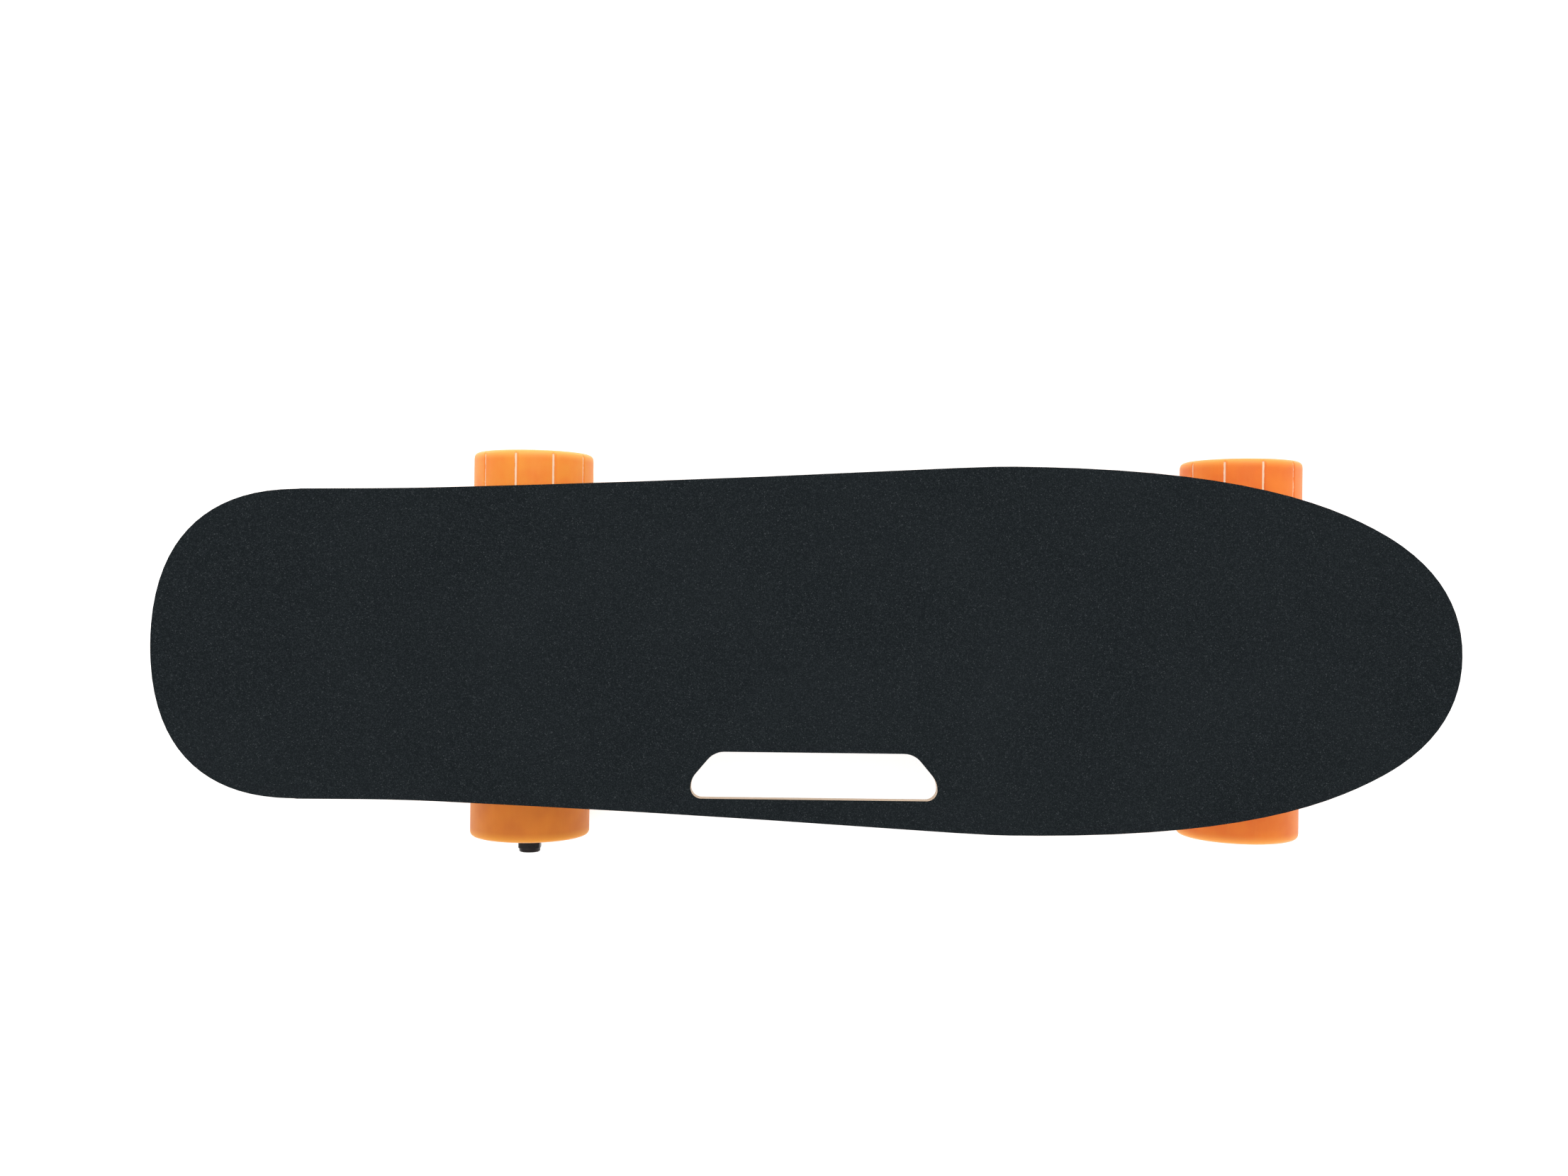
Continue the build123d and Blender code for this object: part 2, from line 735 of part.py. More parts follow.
def free_wheel_outer_races():
    """Outer races of one wheel's two bearings."""
    return [
        outer_race(
            bearing_radius, outer_race_wall, inner_race_radius + shield_gap, start, bearing_width
        )
        for start in (inner_washer_y, outer_bearing_y)
    ]


def free_wheel_core():
    """Moulded hub that holds the two bearings."""
    half = (race_end_y - inner_washer_y) / 2 + core_overhang
    low, high = wheel_centre_y - half, wheel_centre_y + half
    core = rod(core_radius, low, high) - rod(core_web_radius, low, high)
    core -= rod(bearing_radius + press_gap, low, inner_bearing_y)
    return core - rod(bearing_radius + press_gap, outer_bearing_y, high)


def free_wheel_tyre(grooved):
    """Cast polyurethane tyre, dished on both faces. The left wheels have narrow grooves across the tread."""
    half = wheel_width / 2
    core_half = (race_end_y - inner_washer_y) / 2 + core_overhang
    points = [(core_radius + press_gap, -core_half), (wheel_dish_radius, -half + wheel_dish_depth)]
    points += [(wheel_face_radius, -half), (wheel_radius, -half), (wheel_radius, half)]
    points += [(wheel_face_radius, half), (wheel_dish_radius, half - wheel_dish_depth)]
    points += [(core_radius + press_gap, core_half)]
    tyre = Pos(0, 0, wheel_centre_y) * revolved(points)
    shoulders = [
        e
        for e in tyre.edges().filter_by(GeomType.CIRCLE)
        if abs(e.radius - wheel_radius) < 1e-3
    ]
    tyre = fillet(shoulders, tread_lip_radius)
    if grooved:
        cut = Pos(wheel_radius - groove_depth, 0, wheel_inner_y) * Box(
            2 * groove_depth, groove_width, wheel_width, align=(Align.MIN, Align.CENTER, Align.MIN)
        )
        for i in range(groove_count):
            tyre -= Rot(0, 0, 90 + groove_phase + i * 360 / groove_count) * cut
    return tyre


# ---------------------------------------------------------------- hub motor wheel, along +Z from the centreline

def motor_tyre():
    """Polyurethane sleeve with a recess on each face for the covers."""
    tyre = rod(wheel_radius, motor_wheel_inner, motor_wheel_outer)
    shoulders = tyre.edges().filter_by(GeomType.CIRCLE)
    tyre = fillet(shoulders, tread_lip_radius)
    tyre -= rod(rotor_radius + press_gap, motor_wheel_inner, motor_wheel_outer)
    recess = cover_flange_radius + press_gap
    tyre -= rod(recess, motor_wheel_inner, rotor_start_y)
    return tyre - rod(recess, rotor_end_y, motor_wheel_outer)


def cover_screw_spots():
    """Screw places round a motor cover."""
    spot_radius = rotor_radius - rotor_wall / 2
    return [Rot(0, 0, i * 360 / cover_screw_count) * Pos(spot_radius, 0, 0) for i in range(cover_screw_count)]


def motor_rotor():
    """Steel ring that carries the magnets."""
    ring = tube(rotor_radius, rotor_bore, rotor_start_y, rotor_end_y)
    depth = cover_screw_length
    for spot in cover_screw_spots():
        ring -= spot * rod(cover_screw_radius + press_gap, rotor_start_y, rotor_start_y + depth)
        ring -= spot * rod(cover_screw_radius + press_gap, rotor_end_y - depth, rotor_end_y)
    return ring


def motor_magnets():
    """Curved magnets bonded inside the rotor."""
    low, high = motor_middle_y - stator_length / 2, motor_middle_y + stator_length / 2
    ring = tube(rotor_bore - press_gap, magnet_bore, low, high)
    angle = math.radians(360 / magnet_count * magnet_share / 2)
    far = 2 * rotor_bore
    wedge_line = Polyline(
        (0, 0),
        (far * math.cos(angle), -far * math.sin(angle)),
        (far * math.cos(angle), far * math.sin(angle)),
        close=True,
    )
    wedge = Pos(0, 0, low) * extrude(make_face(wedge_line), stator_length)
    magnet = ring & wedge
    return [Rot(0, 0, i * 360 / magnet_count) * magnet for i in range(magnet_count)]


def motor_cover():
    """End cover, flange face at Z 0 and spigot upwards, with its bearing seat and screw holes."""
    cover = rod(cover_flange_radius, -cover_flange_thickness, 0)
    edge = cover.edges().filter_by(GeomType.CIRCLE).sort_by(Axis.Z)[0]
    cover = chamfer(edge, 0.8)
    cover += rod(rotor_bore - press_gap, 0, cover_spigot)
    cover -= rod(motor_bearing_radius + press_gap, cover_spigot - motor_bearing_width, cover_spigot)
    cover -= rod(
        motor_bearing_radius - motor_outer_race_wall + 0.5, -cover_flange_thickness, cover_spigot
    )
    for spot in cover_screw_spots():
        cover -= spot * rod(cover_screw_radius + bolt_gap, -cover_flange_thickness, 0)
        cover -= spot * cone(
            cover_screw_head_radius + bolt_gap, cover_screw_radius + bolt_gap, -cover_flange_thickness, -1.5
        )
    return cover


def motor_cover_screw():
    """Countersunk screw, head face at the cover's outer face and thread upwards."""
    head = cone(cover_screw_head_radius, cover_screw_radius, -cover_flange_thickness, -1.5)
    shank = rod(cover_screw_radius, -1.5, cover_screw_length - 1)
    socket = hex_bar(cover_screw_radius * 1.5, -cover_flange_thickness, -cover_flange_thickness + 1.0)
    return head + shank - socket


def at_motor_ends(shape):
    """A cover piece at the inner and at the outer end of the rotor."""
    inner = Pos(0, 0, rotor_start_y) * shape
    outer = Pos(0, 0, rotor_end_y) * Rot(180, 0, 0) * shape
    return [inner, outer]


def motor_bearing_seat():
    """Start of the bearing, measured up from the cover's flange face."""
    return cover_spigot - motor_bearing_width


def motor_outer_race():
    """Outer race in a cover."""
    return outer_race(
        motor_bearing_radius,
        motor_outer_race_wall,
        motor_shaft_radius + motor_inner_race_wall + shield_gap,
        motor_bearing_seat(),
        motor_bearing_width,
    )


def motor_inner_race():
    """Inner race on the hollow shaft."""
    start = motor_bearing_seat()
    return tube(
        motor_shaft_radius + motor_inner_race_wall,
        motor_shaft_radius + running_fit,
        start,
        start + motor_bearing_width,
    )


def motor_shaft():
    """Hollow shaft that stands still, keyed in the hanger's pad by its flats and drilled for the cable."""
    flange = rod(motor_flange_radius, motor_mount_y - motor_key_depth, motor_mount_y + 1)
    flats = Pos(0, 0, motor_mount_y) * Box(4 * motor_flange_radius, motor_flange_flats, 20)
    shaft = (flange & flats) + rod(motor_shaft_radius, motor_mount_y, motor_washer_y)
    shaft -= rod(axle_radius + press_gap, 0, motor_washer_y)
    return shaft


def motor_stator():
    """Laminated core: hub, teeth and their shoes."""
    low, high = motor_middle_y - stator_length / 2, motor_middle_y + stator_length / 2
    hub_radius = motor_shaft_radius + stator_core_wall
    tooth = Pos(0, 0, low) * Box(
        stator_radius - 0.3, tooth_width, stator_length, align=(Align.MIN, Align.CENTER, Align.MIN)
    )
    shoe_width = 2 * math.pi * stator_radius / tooth_count * 0.72
    shoe_block = Pos(stator_radius - tooth_shoe, 0, low) * Box(
        3 * tooth_shoe, shoe_width, stator_length, align=(Align.MIN, Align.CENTER, Align.MIN)
    )
    shoe = shoe_block & rod(stator_radius, low, high)
    core = rod(hub_radius, low, high)
    for i in range(tooth_count):
        core += Rot(0, 0, i * 360 / tooth_count) * (tooth + shoe)
    return core - rod(motor_shaft_radius + press_gap, low, high)


def motor_windings():
    """One copper coil round each tooth."""
    start = motor_shaft_radius + stator_core_wall + 0.4
    depth = stator_radius - tooth_shoe - 0.3 - start
    low = motor_middle_y - stator_length / 2
    block = Pos(start, 0, low - coil_overhang) * Box(
        depth,
        tooth_width + 2 * coil_build,
        stator_length + 2 * coil_overhang,
        align=(Align.MIN, Align.CENTER, Align.MIN),
    )
    hole = Pos(start, 0, low - 0.1) * Box(
        depth, tooth_width + 0.2, stator_length + 0.2, align=(Align.MIN, Align.CENTER, Align.MIN)
    )
    coil = block - hole
    return [Rot(0, 0, i * 360 / tooth_count) * coil for i in range(tooth_count)]


# ---------------------------------------------------------------- motor cable

cable_start = Vector(rear_axle_x - cable_exit_u, -(motor_mount_y - motor_key_depth), axle_z)
gland_y = cable_start.Y + cable_lead + cable_bend_radius
gland_z = (flange_top_z - flange_thickness + tray_bottom_z) / 2
gland_start = Vector(tray_start_x - gland_length, gland_y, gland_z)
cable_end = gland_start + Vector(
    gland_length + box_wall + gland_inner_length + cable_inside_box, 0, 0
)


def cable_route():
    """Points of the lead: in from the motor's flange, a quarter turn forward while it climbs, then the gland."""
    step = math.pi / 2 / cable_bend_corners
    centre = cable_start + Vector(cable_bend_radius, cable_lead, 0)
    corner_radius = cable_bend_radius / math.cos(step / 2)
    plan = []
    for i in range(cable_bend_corners):
        angle = (i + 0.5) * step
        corner = centre + Vector(-math.cos(angle), math.sin(angle), 0) * corner_radius
        plan.append((i * step * cable_bend_radius, corner))
    bend_end = cable_start + Vector(cable_bend_radius, cable_lead + cable_bend_radius, 0)
    straight = gland_start.X - gland_lead - bend_end.X
    bend_length = plan[-1][0] + step / 2 * cable_bend_radius
    for i in range(1, cable_straight_corners + 1):
        along = straight * i / (cable_straight_corners + 1)
        plan.append((bend_length + along, bend_end + Vector(along, 0, 0)))
    free_length = bend_length + straight
    points = [cable_start]
    for along, corner in plan:
        climb = (1 - math.cos(math.pi * along / free_length)) / 2
        points.append(corner + Vector(0, 0, climb * (gland_start.Z - cable_start.Z)))
    return points + [gland_start - Vector(gland_lead, 0, 0), cable_end]


def corner_radii(points):
    """Largest sensible arc at each corner of a route."""
    radii = []
    for before, corner, after in zip(points, points[1:], points[2:]):
        turn = math.radians((corner - before).get_angle(after - corner))
        run = min((corner - before).length, (after - corner).length)
        radii.append(0.45 * run / math.tan(turn / 2))
    return radii


def motor_cable():
    """Three-phase and sensor lead from the motor into the box."""
    points = cable_route()
    radii = corner_radii(points)
    print("cable radii", [round(r, 1) for r in radii])
    path = FilletPolyline(*points, radius=radii)
    section = Plane(origin=points[0], z_dir=points[1] - points[0]) * Circle(cable_radius)
    solid = sweep(section, path=path)
    print("cable length", round(path.length, 1), "volume share", round(
        solid.volume / (math.pi * cable_radius**2 * path.length), 4
    ))
    return solid


def cable_gland():
    """Moulded strain relief: a nut outside the wall, a tapered sleeve and a collar inside."""
    face = tray_start_x
    bore = cable_radius + press_gap
    outside = cone(cable_radius + 1.2, gland_radius - 2, 0, gland_length - 5)
    nut = hex_bar(2 * gland_radius * 0.87, gland_length - 5, gland_length)
    neck = rod(gland_radius - 2, gland_length, gland_length + box_wall)
    collar = rod(gland_radius, gland_length + box_wall, gland_length + box_wall + gland_inner_length)
    body = outside + nut + neck + collar
    body -= rod(bore, 0, gland_length + box_wall + gland_inner_length)
    return Location((face - gland_length, gland_y, gland_z), (0, 90, 0)) * body


# ---------------------------------------------------------------- battery box

socket_x = tray_start_x + socket_from_box_end
button_x = socket_x + button_from_socket
gauge_x = button_x + gauge_from_button
port_z = (flange_top_z - flange_thickness + tray_bottom_z) / 2
cap_hinge_z = port_z + cap_hinge_rise
cap_eye_radius = cap_pin_radius + cap_pin_fit + cap_eye_wall
cap_hinge_out = body_gap + cap_eye_radius
cap_hinge_y = tray_wall_y + cap_hinge_out


def on_left_wall(shape, x, z=port_z):
    """Places a piece made along +Z, zero at the wall's outer face, pointing out through the left wall."""
    return Location((x, tray_wall_y, z), (-90, 0, 0)) * shape


def enclosure_shell():
    """Moulded tray with a screw flange, port holes and the hinge lugs of the charging port's cap."""
    centre = Pos(box_middle_x, box_middle_y, 0)
    tray = rounded_plate(tray_length, tray_width, box_corner, tray_bottom_z, flange_top_z)
    bottom_edges = tray.faces().sort_by(Axis.Z)[0].edges()
    tray = fillet(bottom_edges, box_edge_radius)
    flange = rounded_plate(
        box_length, box_width, box_corner + flange_width, flange_top_z - flange_thickness, flange_top_z
    )
    shell = tray + flange
    inner = rounded_plate(
        tray_length - 2 * box_wall, tray_inner_width, box_corner - box_wall, tray_floor_z, flange_top_z
    )
    inner_edges = inner.faces().sort_by(Axis.Z)[0].edges()
    inner = fillet(inner_edges, box_edge_radius - box_wall)
    shell = centre * (shell - inner)
    for spot in box_screw_places:
        shell -= spot * rod(box_screw_radius + bolt_gap, flange_top_z - flange_thickness, flange_top_z)
    shell -= on_left_wall(rod(socket_radius + press_gap, -2 * box_wall, 5), socket_x)
    shell -= on_left_wall(rod(button_radius + body_gap, -2 * box_wall, 5), button_x)
    gauge_hole = Box(gauge_length + 2 * press_gap, gauge_height + 2 * press_gap, 8 * box_wall)
    shell -= on_left_wall(gauge_hole, gauge_x)
    shell -= Location((tray_start_x, gland_y, gland_z), (0, 90, 0)) * rod(
        gland_radius - 2 + press_gap, -5, 5
    )
    lug_depth = cap_hinge_out + cap_pin_radius + cap_eye_wall
    lug = Box(cap_lug_width, lug_depth, 4, align=(Align.CENTER, Align.MIN, Align.CENTER))
    for side in (-1, 1):
        offset_x = side * (cap_strap_width / 2 + body_gap + cap_lug_width / 2)
        shell += Pos(socket_x + offset_x, tray_wall_y, cap_hinge_z) * lug
    pin_half = cap_strap_width / 2 + body_gap + cap_lug_width / 2
    pin = Location((socket_x, cap_hinge_y, cap_hinge_z), (0, 90, 0)) * rod(
        cap_pin_radius, -pin_half, pin_half
    )
    return shell + pin


def enclosure_gasket():
    """Foam strip under the flange."""
    ring = rounded_plate(box_length, box_width, box_corner + flange_width, flange_top_z, gasket_top_z)
    ring -= rounded_plate(tray_length, tray_width, box_corner, flange_top_z, gasket_top_z)
    ring = Pos(box_middle_x, box_middle_y, 0) * ring
    for spot in box_screw_places:
        ring -= spot * rod(box_screw_radius + bolt_gap, flange_top_z, gasket_top_z)
    return ring


def enclosure_screw():
    """Button-head screw up through the flange into its insert."""
    seat = flange_top_z - flange_thickness
    head = rod(box_screw_head_radius, seat - box_screw_head_height, seat)
    rim = head.edges().filter_by(GeomType.CIRCLE).sort_by(Axis.Z)[0]
    head = fillet(rim, box_screw_head_height * 0.7)
    socket = hex_bar(2.5, seat - box_screw_head_height, seat - 0.6)
    return head + rod(box_screw_radius, seat, deck_bottom_z + screw_in_insert) - socket


def enclosure_insert():
    """Brass insert pressed up into the deck."""
    return tube(
        insert_radius, box_screw_radius + press_gap, deck_bottom_z, deck_bottom_z + insert_depth
    )


# ---------------------------------------------------------------- battery and electronics

cell_pitch = 2 * cell_radius + cell_gap
battery_end_x = tray_inner_end_x - (box_edge_radius - box_wall) - holder_side - body_gap
cell_count = int((battery_end_x - tray_inner_start_x - controller_zone) // cell_pitch)
battery_length = cell_count * cell_pitch
battery_start_x = battery_end_x - battery_length
cell_z = tray_floor_z + cell_floor_gap + cell_radius
cell_xs = [battery_start_x + (i + 0.5) * cell_pitch for i in range(cell_count)]
holder_height = 2 * (cell_radius + holder_side)
battery_middle_x = battery_start_x + battery_length / 2


def battery_cells():
    """Round cells lying across the box, side by side."""
    cell = Location((0, 0, 0), (90, 0, 0)) * Cylinder(cell_radius, cell_length)
    return [Pos(x, box_middle_y, cell_z) * cell for x in cell_xs]


def cell_holders():
    """Moulded frame round each end of the cells, standing on the box's floor."""
    frames = []
    for side in (-1, 1):
        y = box_middle_y + side * (cell_length / 2 - holder_thickness / 2 - 2)
        frame = Pos(battery_middle_x, y, tray_floor_z) * Box(
            battery_length + 2 * holder_side, holder_thickness, holder_height + cell_floor_gap - holder_side,
            align=(Align.CENTER, Align.CENTER, Align.MIN),
        )
        for x in cell_xs:
            frame -= Location((x, y, cell_z), (90, 0, 0)) * Cylinder(
                cell_radius + press_gap, 2 * holder_thickness
            )
        frames.append(frame)
    return frames


def cell_links():
    """Nickel strips that join the cells in series, alternating sides."""
    strips = []
    for side, first in ((1, 0), (-1, 1)):
        y = box_middle_y + side * (cell_length / 2 + link_thickness / 2)
        starts = list(range(first, cell_count - 1, 2))
        for i in starts:
            middle = (cell_xs[i] + cell_xs[i + 1]) / 2
            strips.append(Pos(middle, y, cell_z) * Box(cell_pitch + link_width, link_thickness, link_width))
    end_y = box_middle_y - (cell_length / 2 + link_thickness / 2)
    strips.append(Pos(cell_xs[0], end_y, cell_z) * Box(link_width, link_thickness, link_width))
    return strips


def battery_management_board():
    """Protection board lying on the pack, on a thin foam pad that is part of it here."""
    length = min(bms_board_size[0], battery_length - 4)
    top = tray_floor_z + holder_height + cell_floor_gap - holder_side
    board = Pos(battery_middle_x, box_middle_y, top) * Box(
        length, cell_length - 2, board_thickness, align=(Align.CENTER, Align.CENTER, Align.MIN)
    )
    chips = [
        Pos(battery_middle_x + x, box_middle_y + y, top + board_thickness) * Box(8, 6, 1.6, align=UP)
        for x in (-length / 3, 0, length / 3)
        for y in (-14, 14)
    ]
    for chip in chips:
        board += chip
    return board


controller_x = battery_start_x - holder_side - controller_gap - controller_board_size[0] / 2
heatsink_size = (controller_board_size[0], controller_board_size[1])


def controller_heatsink():
    """Finned aluminium block on the box's floor."""
    block = Pos(controller_x, box_middle_y, tray_floor_z) * Box(*heatsink_size, heatsink_height, align=UP)
    fin_step = heatsink_size[1] / 11
    for i in range(11):
        if i % 2:
            y = box_middle_y - heatsink_size[1] / 2 + (i + 0.5) * fin_step
            block -= Pos(controller_x, y, tray_floor_z) * Box(
                heatsink_size[0], fin_step, heatsink_height - 3, align=UP
            )
    return block


def controller_board():
    """Motor controller board, seated on the heatsink."""
    return Pos(controller_x, box_middle_y, tray_floor_z + heatsink_height) * Box(
        *controller_board_size, board_thickness, align=UP
    )


def controller_components():
    """Row of power transistors and the bulk capacitors."""
    top = tray_floor_z + heatsink_height + board_thickness
    pitch = controller_board_size[1] / transistor_count
    pieces = [
        Pos(controller_x - 11, box_middle_y + (i - (transistor_count - 1) / 2) * pitch, top)
        * Box(transistor_size[0], pitch - 2, transistor_size[2], align=UP)
        for i in range(transistor_count)
    ]
    step = 2 * capacitor_radius + 6
    pieces += [
        Pos(controller_x + 8, box_middle_y + (i - (capacitor_count - 1) / 2) * step, top)
        * Cylinder(capacitor_radius, capacitor_height, align=UP)
        for i in range(capacitor_count)
    ]
    return pieces


def charge_socket():
    """Round charging socket with its centre pin, mouth flush with the wall."""
    body = rod(socket_radius, -socket_length, 0) - rod(socket_bore_radius, -socket_depth, 0)
    collar = tube(socket_radius + 1.5, socket_radius - 0.5, -socket_length + 4, -box_wall - 0.05)
    pin = rod(socket_pin_radius, -socket_depth, -1.5)
    return on_left_wall(body + collar + pin, socket_x)


def power_button():
    """Push button, held in by its rim behind the wall."""
    cap = rod(button_radius, -box_wall - button_rim_thickness, button_height)
    edge = cap.edges().filter_by(GeomType.CIRCLE).sort_by(Axis.Z)[-1]
    cap = fillet(edge, 1.0)
    rim_top = -box_wall - 0.1
    cap += rod(button_radius + button_rim, rim_top - button_rim_thickness, rim_top)
    return on_left_wall(cap, button_x)


def power_switch():
    """Switch on the wall side of the controller, its plunger just behind the pressed button."""
    rim_back = -box_wall - 0.1 - button_rim_thickness
    top = rim_back - button_travel - 0.2
    body = Pos(0, 0, top - switch_plunger_height) * Box(
        switch_size[0], switch_size[2], switch_size[1], align=DOWN
    )
    plunger = rod(switch_plunger_radius, top - switch_plunger_height, top)
    feet = []
    for side in (-1, 1):
        foot = Pos(side * (switch_size[0] / 2 - 1), 0, top - switch_plunger_height) * Box(
            2, switch_size[2] / 2, switch_plunger_height - top - box_wall, align=UP
        )
        feet.append(foot)
    guard = rod(button_radius + button_rim + body_gap, top - switch_plunger_height, -box_wall)
    body += plunger
    for foot in feet:
        body += foot - guard
    return on_left_wall(body, button_x)


def battery_gauge_lens():
    """Clear bar over the charge lights."""
    bar = Pos(0, 0, gauge_proud) * Box(gauge_length, gauge_height, box_wall + gauge_proud + 1, align=DOWN)
    flange = Pos(0, 0, -box_wall) * Box(gauge_length + 4, gauge_height + 3, 1, align=DOWN)
    return on_left_wall(bar + flange, gauge_x)


def charge_port_cap():
    """Rubber flap over the charging socket, with its hinge eye above."""
    disc = rod(cap_radius, body_gap, body_gap + cap_thickness)
    strap = Pos(0, -cap_hinge_rise / 2, body_gap) * Box(
        cap_strap_width, cap_hinge_rise, cap_thickness, align=UP
    )
    eye_place = Location((0, -cap_hinge_rise, cap_hinge_out), (0, 90, 0))
    eye = eye_place * Cylinder(cap_eye_radius, cap_strap_width)
    hole = eye_place * Cylinder(cap_pin_radius + cap_pin_fit, 2 * cap_strap_width)
    grip = Pos(0, cap_radius - 1.6, body_gap + cap_thickness) * Box(6, 1.6, 0.8, align=UP)
    return on_left_wall(disc + strap + eye + grip - hole, socket_x)


# ---------------------------------------------------------------- export

def free_wheel(place, side, name, grooved):
    """The pieces of one free wheel, by node name."""
    return {
        f"{name}_tyre": [place * outwards(free_wheel_tyre(grooved), side)],
        f"{name}_core": [place * outwards(free_wheel_core(), side)],
        f"{name}_outer_races": [place * outwards(race, side) for race in free_wheel_outer_races()],
    }


def motor_wheel():
    """The turning pieces of the hub motor wheel, by node name."""
    groups = {
        "motor_tyre": [motor_tyre()],
        "motor_rotor": [motor_rotor()],
        "motor_magnets": motor_magnets(),
        "motor_covers": at_motor_ends(motor_cover()),
        "motor_outer_races": at_motor_ends(motor_outer_race()),
        "motor_cover_screws": [
            spot * screw for screw in at_motor_ends(motor_cover_screw()) for spot in cover_screw_spots()
        ],
    }
    return {name: [rear_place * outwards(s, 1) for s in shapes] for name, shapes in groups.items()}


def nodes():
    """Every node of the board: name to its list of solids."""
    flat_places = [Location((p.position.X, 0, mount_face_z - truck_height), p.orientation) for p in truck_places]
    bolt_top = truck_height + riser_thickness + deck_thickness
    bolt_bottom = truck_height - baseplate_thickness - bolt_nut_height - bolt_thread_showing
    bolt = rod(truck_bolt_radius, bolt_bottom, bolt_top - bolt_head_height)
    bolt += cone(truck_bolt_radius, bolt_head_radius, bolt_top - bolt_head_height, bolt_top)
    nut_top = truck_height - baseplate_thickness
    nut = Rot(180, 0, 0) * lock_nut(
        bolt_nut_flats, truck_bolt_radius + press_gap, -nut_top, -nut_top + bolt_nut_height, 1.2
    )
    made = {
        "deck_board": [deck_board()],
        "grip_tape": [grip_tape()],
        "riser_pads": both_trucks(riser_pad()),
        "truck_bolts": [place * spot * bolt for place in flat_places for spot in bolt_places],
        "truck_bolt_nuts": [place * spot * nut for place in flat_places for spot in bolt_places],
        "truck_baseplates": both_trucks(baseplate()),
        "pivot_cups": both_trucks(pivot_cup()),
        "kingpins": both_trucks(kingpin()),
        "kingpin_nuts": both_trucks(kingpin_nut()),
        "bushing_washers": [place * w for place in truck_places for w in bushing_washers()],
        "front_boardside_bushing": [front_place * boardside_bushing()],
        "front_roadside_bushing": [front_place * roadside_bushing()],
        "rear_boardside_bushing": [rear_place * boardside_bushing()],
        "rear_roadside_bushing": [rear_place * roadside_bushing()],
        "front_hanger": [front_place * hanger(False)],
        "rear_hanger": [rear_place * hanger(True)],
        "front_axle": [front_place * axle(free_axle_end_y)],
        "rear_axle": [rear_place * axle(motor_axle_end_y)],
    }
    made["front_axle_nuts"] = [front_place * n for n in on_sides(axle_nut(outer_washer_y))]
    made["rear_axle_nuts"] = [
        rear_place * outwards(axle_nut(outer_washer_y), -1),
        rear_place * outwards(axle_nut(motor_nut_y), 1),
    ]
    motor_washer = tube(
        axle_washer_radius + 1, axle_radius + press_gap, motor_washer_y, motor_nut_y
    )
    made["front_axle_spacers"] = [front_place * s for p in free_wheel_spacers() for s in on_sides(p)]
    made["rear_axle_spacers"] = [rear_place * outwards(p, -1) for p in free_wheel_spacers()]
    made["rear_axle_spacers"].append(rear_place * outwards(motor_washer, 1))
    made["front_inner_races"] = [front_place * s for p in free_wheel_inner_races() for s in on_sides(p)]
    made["rear_inner_races"] = [rear_place * outwards(p, -1) for p in free_wheel_inner_races()]
    made["rear_inner_races"] += [rear_place * outwards(p, 1) for p in at_motor_ends(motor_inner_race())]
    made["motor_shaft"] = [rear_place * outwards(motor_shaft(), 1)]
    made["motor_stator"] = [rear_place * outwards(motor_stator(), 1)]
    made["motor_windings"] = [rear_place * outwards(coil, 1) for coil in motor_windings()]
    made.update(free_wheel(front_place, 1, "front_left", True))
    made.update(free_wheel(front_place, -1, "front_right", False))
    made.update(free_wheel(rear_place, -1, "rear_left", True))
    made.update(motor_wheel())
    made.update({
        "motor_cable": [motor_cable()],
        "cable_gland": [cable_gland()],
        "enclosure_shell": [enclosure_shell()],
        "enclosure_gasket": [enclosure_gasket()],
        "enclosure_screws": [spot * enclosure_screw() for spot in box_screw_places],
        "enclosure_inserts": [spot * enclosure_insert() for spot in box_screw_places],
        "battery_cells": battery_cells(),
        "cell_holders": cell_holders(),
        "cell_links": cell_links(),
        "battery_management_board": [battery_management_board()],
        "controller_heatsink": [controller_heatsink()],
        "controller_board": [controller_board()],
        "controller_components": controller_components(),
        "charge_socket": [charge_socket()],
        "power_switch": [power_switch()],
        "power_button": [power_button()],
        "battery_gauge_lens": [battery_gauge_lens()],
        "charge_port_cap": [charge_port_cap()],
    })
    return made


def main():
    """Writes one STEP file per node into parts/."""
    os.makedirs("parts", exist_ok=True)
    for name, shapes in nodes().items():
        solids = [solid for shape in shapes for solid in shape.solids()]
        export_step(Compound(children=solids) if len(solids) > 1 else solids[0], f"parts/{name}.step")


main()
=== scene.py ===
"""Looks of a short electric cruiser board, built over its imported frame.

Every length is in metres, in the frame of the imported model: +X to the nose, +Y to the rider's left, +Z up,
with the origin on the standing surface at the middle of the deck.
"""

from __future__ import annotations

import logging
import math
from dataclasses import dataclass
from enum import Enum
from typing import Callable, Sequence

import bmesh
import bpy
from mathutils import Matrix, Vector


